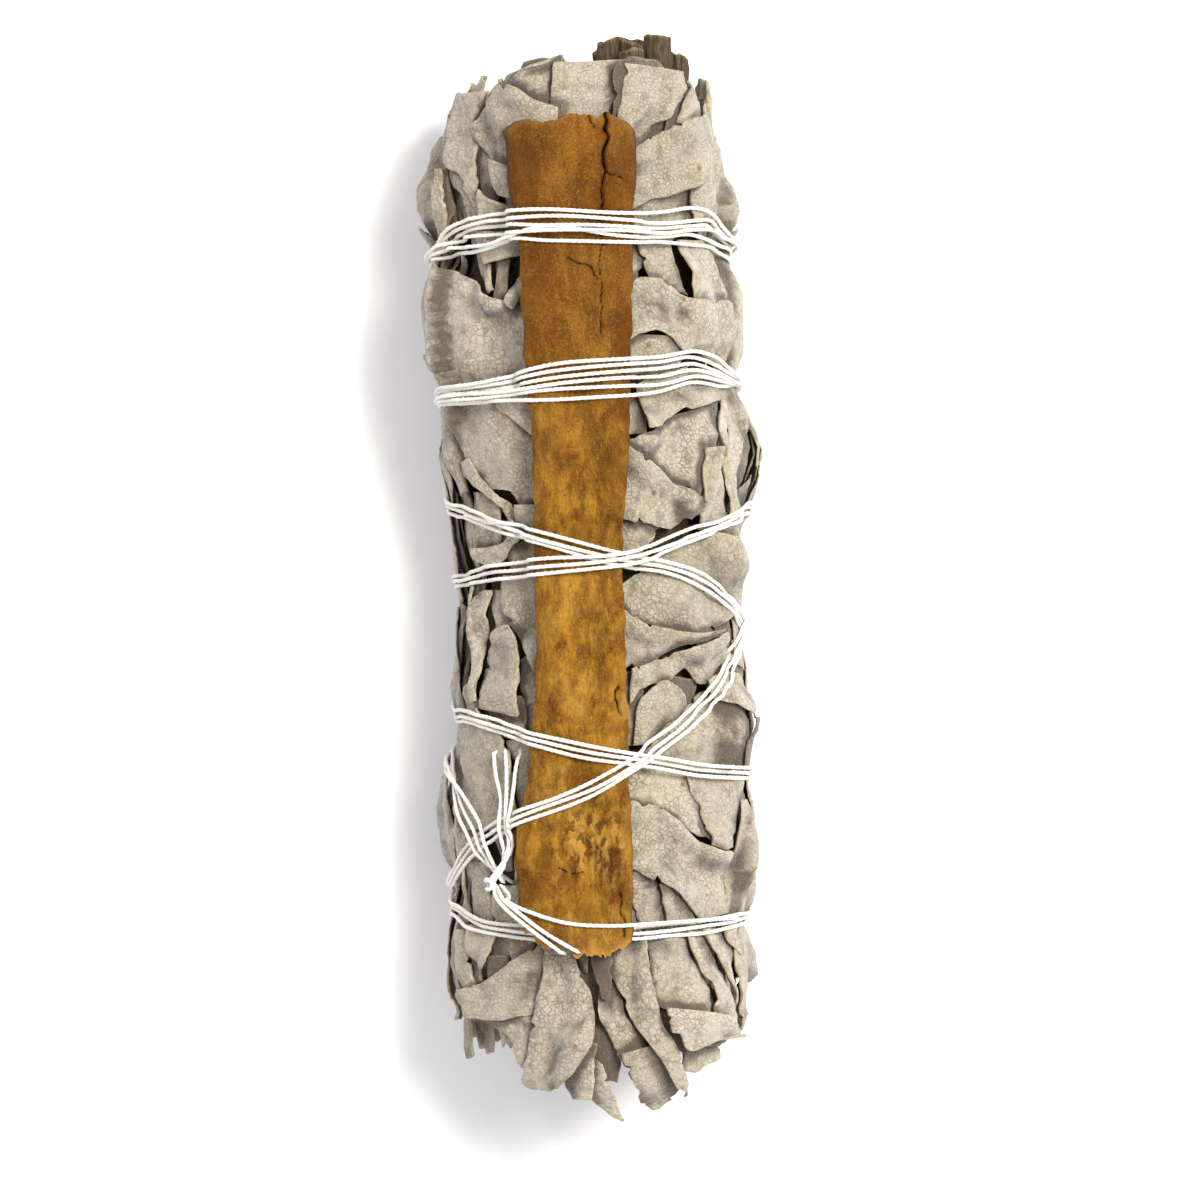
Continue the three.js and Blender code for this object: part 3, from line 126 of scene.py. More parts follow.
FRONT_RIGHT_LEAVES = (
    Leaf(((10.3, 17.5), (10.6, 12), (10.3, 6)), ((15.4, 17), (15.8, 12), (15.3, 6.5)), Look.BROWN),
    Leaf(((2, 42), (2.5, 50.5), (4, 51.8)), ((9, 42), (9, 50), (8, 51.2)), Look.BROWN),
    Leaf(((3, -38), (4, -47), (5, -51)), ((9, -38), (9.5, -47), (8.5, -50)), Look.BROWN),
    Leaf(((7.5, 44), (8.2, 46.3), (9.5, 47.7)), ((11.2, 45), (10.7, 46.2), (9.8, 47.8)), Look.SHADED),
    Leaf(((7.2, 23.8), (7.4, 20.5)), ((10.5, 22.5), (10.2, 20.5)), Look.BROWN),
    Leaf(((13.5, 6.3), (13.6, 3), (14.2, 1.5)), ((16.7, 6.3), (16.7, 3), (16.5, 1))),
    Leaf(((13.4, -4), (13.5, -6.5), (13.8, -7.7)), ((14.5, -3.7), (14.5, -6.5), (14, -7.7)), Look.BROWN),
    Leaf(
        ((8.3, -10), (8.7, -12.5), (9.7, -14.5)),
        ((11.9, -10.5), (12.2, -12.5), (12.2, -14.5)),
        Look.BROWN,
    ),
    Leaf(((14.9, -6.5), (15, -11.5)), ((17.2, -6.5), (17.2, -11.5))),
    Leaf(((3.2, 33.5), (3.3, 31), (3.5, 29)), ((5.7, 33.7), (6.1, 31.3), (4.7, 29.3))),
    Leaf(((3.5, 24), (3.5, 20)), ((9.9, 23.8), (9.6, 20))),
    Leaf(((2.9, 18), (3.1, 14)), ((5.8, 18), (5.5, 14.2))),
    Leaf(((15, -2.5), (14.9, -6.5), (14.2, -9)), ((16.9, -2.5), (17.1, -6.5), (16.7, -9.5))),
    Leaf(((2.5, -9.7), (2.7, -17)), ((6.5, -9.5), (5.7, -12.5), (5.2, -17))),
    Leaf(((2.5, -29.3), (4.2, -32.5), (5.7, -35.5)), ((6, -29.3), (7.5, -31), (8.2, -35.5))),
    Leaf(
        ((3.3, 50.9), (2.9, 47.5), (2.5, 43.5), (3.5, 42.3)),
        ((9.7, 50.3), (9.3, 48), (7.7, 45.7), (4.7, 42.5)),
    ),
    Leaf(((8.3, 45), (9.1, 47.7), (10.5, 49.6)), ((12.4, 45.4), (12.4, 46.9), (11, 49.5))),
    Leaf(((4.7, 38), (8.7, 39), (11.9, 39.5)), ((4.7, 33.5), (8.7, 33), (12.3, 35.3))),
    Leaf(
        ((11.2, 42.5), (10.1, 38.5), (10.9, 36.5), (13.2, 32.5)),
        ((14.7, 43.5), (15.2, 39.5), (15.5, 36), (15.5, 32.5)),
    ),
    Leaf(
        ((2.9, 41.7), (5.7, 43.5), (9.7, 45.5), (13.9, 46.6)),
        ((2.9, 35.7), (5.7, 37), (9.7, 38.5), (12.4, 41.7), (14, 46.2)),
    ),
    Leaf(((4.7, 33.5), (5.5, 30.5), (6.7, 28.3)), ((8.7, 33.5), (9.5, 31.3), (10.3, 28))),
    Leaf(((10, 33.5), (9.9, 30.5), (10.1, 27.5), (10.7, 24.5)), ((15.6, 33.5), (16.2, 27.5), (16.4, 24.5))),
    Leaf(
        ((3.1, 28.5), (6.2, 29.8), (9.7, 27.8), (13.7, 27.5), (16.4, 27.5)),
        ((3.1, 23), (5.7, 24.2), (7.5, 24.3), (9.7, 22.5), (12.2, 22.1), (15.6, 19.7)),
    ),
    Leaf(
        ((3.3, 13.5), (6.7, 14.5), (10.5, 16.7), (13.1, 17.3)),
        ((3.3, 12.9), (6.5, 10.6), (9, 8.8), (10.7, 7.6)),
    ),
    Leaf(
        ((12, 12.9), (11.5, 9.5), (11.3, 7.5), (11.7, 4.5)),
        ((12.9, 12.8), (13.5, 10.5), (14, 8.5), (13.5, 4.5)),
    ),
    Leaf(
        ((13.5, 19.7), (14.3, 15.5), (14.2, 12.5), (14.2, 8.5), (13.7, 5.5)),
        ((16.3, 19.7), (17.3, 15.5), (17.5, 12.5), (17.1, 8.5), (16.7, 5.5)),
    ),
    Leaf(((4.7, 19), (9.7, 20.5), (13.7, 20.7)), ((5.5, 14.3), (9.7, 16.4), (13.3, 17.4))),
    Leaf(((2.9, 6), (3, 3.5), (3.3, 1.5)), ((7.7, 5), (6.2, 3), (5.2, 1))),
    Leaf(
        ((2.9, 13.1), (5.7, 11.3), (8.7, 9.1), (10.9, 7.5)),
        ((2.9, 5.7), (5.7, 5.2), (8.7, 4.6), (10.6, 5.3)),
    ),
    Leaf(
        ((5.2, 0.9), (9.7, 3), (12.9, 4.1), (16.5, 2)),
        ((5.7, -1), (10.7, -2.5), (14.2, -3.7), (17.2, -3.7)),
    ),
    Leaf(
        ((2.5, -1.5), (4.7, 0.1), (9.7, -0.3), (14.4, -3.1)),
        ((2.5, -3.3), (5.2, -4.7), (9.7, -5.8), (12.9, -5.5), (14.5, -3.4)),
    ),
    Leaf(
        ((2.2, -3), (5.2, -4.6), (7.7, -5.3), (10.7, -5.8), (13.1, -5.4)),
        ((2.2, -9.3), (6.2, -9), (8.7, -7.5), (13, -5.9)),
    ),
    Leaf(
        ((3.9, -9.5), (7.5, -8.3), (9.7, -7.2), (13.4, -5.7)),
        ((3.9, -12.7), (5.7, -11.2), (8.2, -10.5), (10, -9.3), (11.7, -10.9), (14.1, -8.5)),
    ),
    Leaf(
        ((4.3, -17), (4.7, -13.5), (5.4, -11.7), (6.9, -10.7)),
        ((10.7, -16.5), (10.5, -14), (9.7, -11.8), (7.7, -10.7)),
    ),
    Leaf(
        ((4.7, -18.5), (7.7, -15.3), (12, -11.9), (13.1, -11.8), (15.4, -14.2)),
        ((4.7, -20), (9.7, -21), (14.7, -21), (16.2, -20)),
    ),
    Leaf(
        ((12, -10.5), (14, -9.7), (15.9, -11.3), (17.2, -12.8)),
        ((12.4, -12.2), (15.2, -14.1), (16.3, -14.4), (17.3, -13.4)),
    ),
    Leaf(
        ((2.7, -19), (8.7, -19.7), (14.7, -20.5)),
        ((2.7, -23.1), (7.2, -23.1), (10.7, -25.7), (14.2, -27)),
    ),
    Leaf(((9.9, -20), (10.9, -23), (12.3, -27.1)), ((15.5, -20), (15.7, -24), (14.5, -27.5))),
    Leaf(((14.7, -22.5), (14.9, -27.5), (14.7, -33.7)), ((17.5, -22.5), (17.7, -27.5), (17.5, -34))),
    Leaf(((6.9, -30.7), (7.5, -33), (8.2, -35.5)), ((9.7, -31.5), (11, -33), (12.5, -35.3))),
    Leaf(
        ((2.5, -22.5), (6.4, -22.9), (9.7, -25.2), (12.5, -27.3), (14.5, -27.6)),
        ((2.5, -29.1), (4.7, -29.5), (9.7, -32.3), (12.3, -34.4), (14.7, -33.8)),
    ),
    Leaf(
        ((0.5, -40.5), (0.7, -43.5), (2.3, -47.1), (3.9, -50.3)),
        ((2.5, -40.5), (3.7, -44.3), (5.5, -46.7), (6.2, -49.5)),
    ),
    Leaf(
        ((2.9, -47.5), (3.9, -50.3), (4.7, -52.3), (6.5, -53.3)),
        ((6.7, -46.5), (9.2, -50), (8.7, -52), (7.2, -53.1)),
    ),
    Leaf(
        ((9.5, -43.5), (9.7, -47.5), (10.4, -49.5), (11.3, -49.7)),
        ((13.7, -43.5), (14.5, -47.3), (14.4, -48.4), (12.2, -49.1)),
    ),
    Leaf(
        ((5.2, -38.5), (6.2, -43.5), (7.5, -46.5), (9.3, -47.7)),
        ((13, -41), (14.9, -44.5), (13.9, -47), (11.9, -46.7)),
    ),
    Leaf(
        ((5.5, -35.5), (5.4, -39), (5.7, -42.5), (7.9, -43.3)),
        ((10.2, -35.5), (11, -39.5), (11.7, -41.5), (10.7, -44.5)),
    ),
    Leaf(
        ((10, -35.5), (10.7, -39), (11.8, -41.5), (11.9, -43.7), (13.6, -45.3)),
        ((12.3, -35.5), (13.7, -39.5), (15.1, -42.3), (15.5, -46)),
    ),
    Leaf(
        ((12, -35.3), (13.7, -39.7), (15.2, -42.5), (15.8, -44.5)),
        ((16.5, -35.3), (16.2, -39), (16.3, -42), (16.4, -44.2)),
    ),
    Leaf(
        ((0.7, -35.5), (1.9, -39.5), (3.5, -43.3), (5.3, -46.5), (7.9, -51)),
        ((5.4, -35.5), (5.4, -39.5), (6.1, -43.3), (8.3, -48), (9.9, -52.1)),
    ),
    Leaf(
        ((15.2, -14.2), (15.2, -16.5), (14.8, -19.8)),
        ((17.2, -14.2), (17.2, -16.5), (17, -20)),
        Look.BROWN,
    ),
    Leaf(((-0.2, -36.5), (0, -39), (0.9, -42)), ((1.9, -36.5), (1.9, -39.5), (1.6, -42)), Look.BROWN),
    Leaf(((14.3, -34.5), (14.5, -36.5), (15.7, -38)), ((17.3, -34.5), (17, -36.5), (16.6, -38))),
    Leaf(
        ((6.5, -42.9), (7.3, -45.7), (8.7, -47.3), (11.1, -46.5)),
        ((9.5, -43.3), (11.1, -43.5), (13.1, -44.1), (14.7, -46.1)),
        Look.CREAM,
        0.2,
    ),
    Leaf(
        ((12.9, 17.5), (12.3, 14.7), (12.9, 12.9)),
        ((13.9, 17.5), (14.2, 14.5), (14.1, 12.9)),
        Look.CREAM,
    ),
    Leaf(((11.1, 12.7), (10.7, 10.5), (10.5, 7.5)), ((12.4, 12.9), (11.9, 10.5), (11.3, 8))),
)

FRONT_LEFT_LEAVES = (
    Leaf(((-9, 40), (-8.7, 48), (-7.3, 51.1)), ((-2, 40), (-2.2, 49), (-3.2, 51.6)), Look.BROWN),
    Leaf(((-3, -38), (-2.5, -46), (-1, -50)), ((3, -38), (3.5, -46), (2.5, -50.5)), Look.BROWN),
    Leaf(((-8, 47), (-8, 49.7), (-7.3, 50.5)), ((-4.5, 47.5), (-4.3, 50), (-4.8, 50.8)), Look.SHADED),
    Leaf(((-12.5, 46), (-11.2, 48.6)), ((-11, 46), (-10.3, 49.2)), Look.SHADED),
    Leaf(((-16.4, 44.3), (-16.4, 41), (-16.3, 39.5)), ((-15.4, 44.5), (-15.3, 41), (-15.5, 39.3))),
    Leaf(((-16.9, 40.5), (-16.9, 38.5), (-16.3, 33.5)), ((-16.2, 40.8), (-15.8, 37.5), (-15.3, 33.5))),
    Leaf(((-10.9, 31.5), (-10.7, 28)), ((-10, 31.5), (-10, 28)), Look.BROWN),
    Leaf(((-10.8, 5.5), (-10.6, 2.2)), ((-9.6, 5.5), (-9.2, 2.5))),
    Leaf(((-13.9, 5), (-13.9, -2)), ((-13.2, 5), (-13, -2))),
    Leaf(((-14, -1.5), (-13.7, -4)), ((-12.9, -1), (-12.9, -4))),
    Leaf(((-14.3, -35.5), (-13.8, -38.5), (-12.9, -41)), ((-13.4, -35.5), (-13, -38), (-12.4, -40.7))),
    Leaf(((-11.8, -38), (-11.5, -41.5)), ((-9.5, -38), (-9.3, -41)), Look.BROWN),
    Leaf(((-2.3, -36.5), (-1, -39.7)), ((-0.2, -36.5), (-0.7, -39.7)), Look.SHADED),
    Leaf(
        ((-12.6, 44.5), (-12.6, 40.5), (-11.9, 37)),
        ((-11.1, 43.5), (-11.1, 40), (-10.8, 37)),
        Look.SHADED,
    ),
    Leaf(
        ((-15.6, 41), (-15.2, 39), (-14.3, 37.5), (-14.1, 32.5)),
        ((-14.6, 41), (-13.5, 38.5), (-12.3, 36), (-12.1, 32.5)),
    ),
    Leaf(((-10.4, 31.5), (-10.4, 27.5)), ((-9.2, 31.5), (-9.3, 27.5)), Look.SHADED),
    Leaf(((-13.9, 8.3), (-13.8, 1)), ((-12.7, 8.3), (-12.6, 1))),
    Leaf(((-8.2, -8.5), (-8.1, -12.5), (-8.1, -16.5)), ((-4.8, -6.5), (-4.8, -12), (-4.8, -17))),
    Leaf(((-12.1, -12.5), (-12, -16)), ((-7.6, -12), (-7.3, -16.5))),
    Leaf(((-12, -25), (-10.5, -29.5)), ((-9, -25), (-9.3, -29.5)), Look.SHADED),
    Leaf(((-9.9, -36), (-8.5, -38.7)), ((-6.3, -36), (-6.9, -37.8)), Look.SHADED),
    Leaf(
        ((-9.3, 45.5), (-10.4, 48.3), (-9.6, 49.3), (-7.3, 49.8)),
        ((-4, 45), (-3.7, 48.5), (-3, 51.8), (-4.6, 50.8)),
    ),
    Leaf(
        ((-3.6, 51), (-4.2, 47), (-4.4, 42.5), (-3.3, 38.5)),
        ((3.9, 51.4), (4.3, 48.9), (2, 45.9), (-0.3, 38.5)),
    ),
    Leaf(
        ((-14.9, 48.2), (-15.6, 46.5), (-15.4, 42), (-13.8, 39), (-12.2, 35.5)),
        ((-11.3, 48.4), (-12.5, 46.3), (-12.5, 41.5), (-11.9, 35.5)),
    ),
    Leaf(
        ((-3.3, 46.5), (-5.5, 47.2), (-8, 48.9), (-10.3, 48.1), (-12.7, 44.8)),
        ((-3.3, 37.5), (-7.3, 38.3), (-9.5, 39.7), (-11.3, 41.8), (-12.7, 44.2)),
    ),
    Leaf(((-18, 40.5), (-18, 37.5), (-17.5, 32.5)), ((-15.6, 40.8), (-15.4, 37.5), (-15, 32.5))),
    Leaf(((-13, 32.3), (-12.6, 30), (-11, 28.2)), ((-11.8, 32.5), (-11, 30.5), (-10.4, 28.6))),
    Leaf(
        ((-18, 30.8), (-18.3, 27.5), (-18, 24.5), (-17.8, 22)),
        ((-16.3, 30.8), (-16.1, 27.5), (-15.7, 24), (-15.7, 21.5)),
    ),
    Leaf(((-17.8, 22), (-17, 19), (-16.8, 15.5)), ((-15.8, 22.3), (-14.6, 18.5), (-14.4, 15.5))),
    Leaf(
        ((-16.6, 31.6), (-13.4, 29.7), (-10.9, 27.9), (-7.5, 26.4), (-5, 22), (-5, 17)),
        ((-16.8, 31.2), (-16.6, 27.5), (-16, 23), (-14.9, 19), (-13.5, 17), (-11, 15.5)),
    ),
    Leaf(
        ((-17.2, 18), (-17.2, 15), (-16.4, 12.5), (-15.4, 8)),
        ((-14.4, 18), (-14.3, 14.5), (-14.1, 11.5), (-13.6, 8.5)),
    ),
    Leaf(((-12.8, 8.3), (-12.6, 1.5)), ((-10.6, 7.5), (-10.4, 2))),
    Leaf(
        ((-14.3, 17.5), (-14.1, 14.5), (-13.7, 11.7), (-11.8, 8.8), (-9.2, 8.3), (-8.1, 6.6)),
        ((-4.8, 17.5), (-4.8, 12.5), (-5.3, 8.5), (-6, 6.8), (-7, 6.4)),
    ),
    Leaf(
        ((-14, 11.3), (-13.5, 9.7), (-11.8, 8.3), (-10.1, 6.7), (-9.3, 4.5)),
        ((-13.2, 11.7), (-12.4, 10.2), (-10.8, 8.3), (-9.2, 6.7), (-8.3, 4.2)),
    ),
    Leaf(((-9.6, 2.3), (-8.1, 3.5), (-4.8, 5.3)), ((-9.6, -0.5), (-7.3, -1.5), (-4.8, -1.5))),
    Leaf(((-11.5, -1.5), (-11.5, -3), (-10.7, -5.6)), ((-9, -1.5), (-8.5, -3.5), (-9.3, -5))),
    Leaf(
        ((-10.9, 0), (-10.5, -2.2), (-9.3, -4.2), (-7.7, -7), (-6, -9.7)),
        ((-4.3, 0), (-4.1, -4.5), (-4.3, -8.5), (-4.8, -11.5)),
    ),
    Leaf(((-15.6, -1.5), (-15.2, -6), (-14.8, -10.5)), ((-12.9, -1), (-12.9, -6), (-12.9, -10.5))),
    Leaf(
        ((-12.3, -13.3), (-12.5, -11), (-12.3, -8.5), (-11.5, -6.7), (-10.2, -5.4), (-8.9, -4.9)),
        ((-7.9, -14.2), (-7.8, -11.5), (-7.6, -8.5), (-8, -6.2), (-8.5, -5.1)),
    ),
    Leaf(((-9.3, -16.5), (-8.5, -21), (-8.5, -27), (-8.7, -31)), ((-5.5, -16.5), (-5.5, -22), (-6, -31))),
    Leaf(((-17, -23.5), (-16.8, -29)), ((-13.5, -24), (-12.7, -28.7))),
    Leaf(
        ((-14.6, -10.9), (-13.1, -12.7), (-11.5, -14.3), (-9, -17.5), (-8.5, -22.5), (-9.3, -25.7)),
        ((-15.5, -11.5), (-16.9, -14.5), (-17.4, -19.5), (-16.8, -23), (-14, -25.3)),
    ),
    Leaf(((-14.2, -28.7), (-14.3, -31.5), (-13.7, -35)), ((-12, -28.7), (-11.6, -31.5), (-11.5, -35))),
    Leaf(((-16.5, -29.5), (-16.5, -36)), ((-14.3, -29.5), (-14.3, -36))),
    Leaf(((-11.3, -31.5), (-11.3, -35.5)), ((-7, -30.7), (-6.5, -35.5))),
    Leaf(((-16, -35.5), (-15.6, -39), (-14.6, -42)), ((-13.7, -35.5), (-13.2, -38.5), (-12.6, -41))),
    Leaf(
        ((-13.5, -35), (-13.4, -37), (-12.8, -38.5), (-12.1, -39.2)),
        ((-10.5, -35), (-10.9, -37), (-11.1, -38.3), (-11.7, -39.2)),
    ),
    Leaf(
        ((-0.9, -48), (-0.5, -51.8), (1.7, -53.7), (3, -54.3)),
        ((0.7, -48.3), (1.9, -51), (2.8, -52.7), (3.3, -54.1)),
    ),
    Leaf(((-3, -46.5), (-3, -50.5), (-2.3, -52.3)), ((0.2, -46.5), (0.3, -50), (-0.2, -52.4))),
    Leaf(
        ((-5.2, -43), (-9.3, -43.8), (-13.2, -44)),
        ((-7, -48), (-8.2, -49.3), (-9.5, -46.5), (-11, -45.3), (-13.3, -44.4)),
    ),
    Leaf(
        ((-5, -35.5), (-6.5, -37), (-9.3, -39.3), (-12.3, -41), (-14.6, -42)),
        ((-5, -43.7), (-7.3, -43.8), (-10.3, -44.3), (-13.1, -44.3), (-14.5, -42.7)),
    ),
    Leaf(
        ((-5.6, -35.5), (-5.5, -40), (-6.1, -43.3), (-7.7, -49.3), (-7.9, -50.7), (-6.3, -51.4)),
        ((-2.3, -35.5), (-1.3, -39.7), (-0.1, -42), (-0.1, -46.5), (-1.8, -49.5), (-3.5, -51.3)),
    ),
    Leaf(((-16.3, 40.7), (-16.1, 37.5), (-15.9, 32.5)), ((-15.6, 40.7), (-15.2, 37.5), (-14.9, 32.5))),
    Leaf(((-10.6, 41.5), (-10, 38)), ((-8, 40.5), (-8.2, 37.5))),
    Leaf(((-12.3, 34), (-11.9, 38.3)), ((-7.8, 33.5), (-8.1, 36.3)), Look.CREAM),
    Leaf(((-12.3, 34.3), (-11.6, 31.2)), ((-7.6, 34.3), (-7.7, 31.9)), Look.CREAM),
    Leaf(((-9.2, 27.2), (-7.6, 30.5)), ((-8.2, 26.4), (-7.2, 28))),
    Leaf(((-10.8, 17.8), (-8.4, 15.6), (-5.8, 13.2)), ((-9, 20), (-6.5, 17.5), (-4.5, 15))),
    Leaf(((-8.5, 7), (-8.3, 3.5)), ((-5.5, 7), (-5, 4.5))),
    Leaf(
        ((-8.5, 5.5), (-9.3, 3.7), (-11.3, 2.7), (-12.9, 2.7)),
        ((-7.4, 3.9), (-9.3, 2), (-10.8, 0.8), (-12.3, 1.3)),
    ),
    Leaf(
        ((-12.2, -1.5), (-13, -4), (-13.1, -8), (-13.3, -12.5)),
        ((-11.3, -1.5), (-12, -4), (-12.2, -8), (-12.3, -12.5)),
        Look.CREAM,
    ),
)


def along(table: Array, y: Array, column: int) -> Array:
    """Smooth value of one column of a table whose first column falls steadily."""
    stations = table[::-1, 0]
    values = table[::-1, column]
    y = np.clip(y, stations[0], stations[-1])
    i = np.clip(np.searchsorted(stations, y, side="left"), 1, len(stations) - 1)
    t = (stations[i] - y) / (stations[i] - stations[i - 1])
    s = t * t * (3 - 2 * t)
    return values[i] * (1 - s) + values[i - 1] * s


def bundle(y: Array) -> tuple[Array, Array, Array]:
    """Middle x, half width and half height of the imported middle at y."""
    left = along(OUTLINE, y, 1)
    right = along(OUTLINE, y, 2)
    half = (right - left) / 2
    return (left + right) / 2, half - LEAF_DEPTH, half * FLATTENING - LEAF_DEPTH


def angle_at(t: Array, y: Array) -> Array:
    """Direction round the bundle of an unrolled point."""
    middle, a, _ = bundle(y)
    reach = a + LEAF_DEPTH - 0.4
    u = (t - middle) / reach
    near = np.arcsin(np.clip(u, -SIDE_SHARE, SIDE_SHARE))
    past = np.maximum(np.abs(u) - SIDE_SHARE, 0) * reach / SIDE_RADIUS
    return near + np.sign(u) * past


def place(angle: Array, y: Array, height: Array, floor: float = 0.0) -> Array:
    """Points in the source's millimetres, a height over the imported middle."""
    middle, a, b = bundle(y)
    side = np.clip((np.abs(np.sin(angle)) - 0.78) / 0.17, 0, 1) * np.clip((40 - np.abs(y + 3)) / 6, 0, 1)
    height = height - SIDE_PACKING * side * np.maximum(height - 0.2, 0)
    x = middle + (a + height) * np.sin(angle)
    z = AXIS_HEIGHT + (b + height) * np.cos(angle)
    return np.stack([x, y + 0 * x, np.maximum(z, floor)], axis=-1)


def smooth_noise(x: Array, y: Array, seed: int) -> Array:
    """Smooth noise from about -1 to 1 with features about one unit across."""
    lattice = np.random.default_rng(seed).uniform(-1, 1, (64, 64))
    i = np.floor(x).astype(int)
    j = np.floor(y).astype(int)
    u = x - i
    v = y - j
    u = u * u * (3 - 2 * u)
    v = v * v * (3 - 2 * v)

    def corner(di: int, dj: int) -> Array:
        return lattice[(i + di) % 64, (j + dj) % 64]

    low = corner(0, 0) * (1 - u) + corner(1, 0) * u
    high = corner(0, 1) * (1 - u) + corner(1, 1) * u
    return low * (1 - v) + high * v


def smooth_line(points: Sequence[Point], count: int) -> Array:
    """Evenly spaced points of a smooth line through given ones."""
    p = np.array(points, float)
    if len(p) == 2:
        s = np.linspace(0, 1, count)[:, None]
        return p[0] * (1 - s) + p[1] * s
    ends = np.vstack([2 * p[0] - p[1], p, 2 * p[-1] - p[-2]])
    knots = np.concatenate([[0], np.cumsum(np.sqrt(np.linalg.norm(np.diff(ends, axis=0), axis=1)))])
    fine = np.linspace(knots[1], knots[-2], 24 * len(p))
    k = np.clip(np.searchsorted(knots, fine, side="right") - 1, 1, len(p) - 1)
    t = fine[:, None]

    def mix(first: Array, second: Array, low: Array, high: Array) -> Array:
        return ((high - t) * first + (t - low) * second) / (high - low)

    t0, t1, t2, t3 = (knots[k + d][:, None] for d in (-1, 0, 1, 2))
    p0, p1, p2, p3 = (ends[k + d] for d in (-1, 0, 1, 2))
    a1, a2, a3 = mix(p0, p1, t0, t1), mix(p1, p2, t1, t2), mix(p2, p3, t2, t3)
    line = mix(mix(a1, a2, t0, t2), mix(a2, a3, t1, t3), t1, t2)
    run = np.concatenate([[0], np.cumsum(np.linalg.norm(np.diff(line, axis=0), axis=1))])
    even = np.linspace(0, run[-1], count)
    return np.stack([np.interp(even, run, line[:, c]) for c in range(2)], axis=1)


class Surface:
    """Height of everything laid so far, on a raster round and along the bundle."""

    def __init__(self, threads: Sequence[tuple[Array, Array]]) -> None:
        """Starts with the bare middle, drawn in under the threads' lines of directions and y."""
        laid = np.zeros((LONG_CELLS, ROUND_CELLS))
        for angle, y in threads:
            row, column = self.cells(angle, y)
            laid[row, column % ROUND_CELLS] = 1.0
        laid = window(laid, 4, np.maximum)
        for _ in range(3):
            laid = spread(laid, 5)
        self.pressed = np.clip(1.3 * laid, 0, 1)
        self.heights = FIRST_HEIGHT - 0.5 * self.pressed

    @staticmethod
    def cells(angle: Array, y: Array) -> tuple[NDArray[np.int64], NDArray[np.int64]]:
        """Row and column of the cell under each point; columns may run past the seam."""
        column = np.floor(angle / (2 * math.pi) * ROUND_CELLS).astype(int)
        row = np.clip(np.rint((y - LONG_START) / LONG_CELL).astype(int), 0, LONG_CELLS - 1)
        return row, column

    def at(self, angle: Array, y: Array) -> Array:
        """Height at each point."""
        row, column = self.cells(angle, y)
        return self.heights[row, column % ROUND_CELLS]

    def press(self, angle: Array, y: Array) -> Array:
        """How far the threads press what lies at each point, from 0 to 1."""
        row, column = self.cells(angle, y)
        return self.pressed[row, column % ROUND_CELLS]

    def drape(self, angle: Array, y: Array, gap: float, reach: int = 7) -> Array:
        """Height of a sheet laid over the points' cells, smoothed over what lies below.

        Args:
            angle: Directions of a grid of points that covers the sheet.
            y: Their y.
            gap: Clear height over what lies below.
            reach: Cells over which the sheet is smoothed.

        Returns:
            The height at each of the points.
        """
        row, column = self.cells(angle, y)
        pad = 2 * reach
        r0, c0 = row.min() - pad, column.min() - pad
        shape = (row.max() - r0 + pad + 1, column.max() - c0 + pad + 1)
        rows = np.clip(np.arange(r0, r0 + shape[0]), 0, LONG_CELLS - 1)
        columns = np.arange(c0, c0 + shape[1]) % ROUND_CELLS
        below = self.heights[np.ix_(rows, columns)]
        mask = np.zeros(shape, bool)
        mask[row - r0, column - c0] = True
        mask = window(mask, 2, np.maximum)
        highest = window(np.where(mask, below, -9.0), reach, np.maximum)
        weight = mask.astype(float)
        value = np.where(mask, highest, 0.0)
        for _ in range(2):
            value = spread(value, reach // 2)
            weight = spread(weight, reach // 2)
        sheet = value / np.maximum(weight, 1e-6)
        return np.maximum(sheet, below)[row - r0, column - c0] + gap

    def raise_to(self, angle: Array, y: Array, height: Array) -> None:
        """Records points as covered up to their height."""
        row, column = self.cells(angle, y)
        np.maximum.at(self.heights, (row, column % ROUND_CELLS), height)


def window(values: Array, reach: int, pick: Callable[[Array, Array], Array]) -> Array:
    """Largest value, or what pick chooses, within reach cells each way."""
    result = values.copy()
    for axis in (0, 1):
        source = result.copy()
        for step in range(1, reach + 1):
            result = pick(result, np.roll(source, step, axis))
            result = pick(result, np.roll(source, -step, axis))
    return result


def spread(values: Array, reach: int) -> Array:
    """Mean over a square of cells."""
    for axis in (0, 1):
        values = sum(np.roll(values, step, axis) for step in range(-reach, reach + 1)) / (2 * reach + 1)
    return values


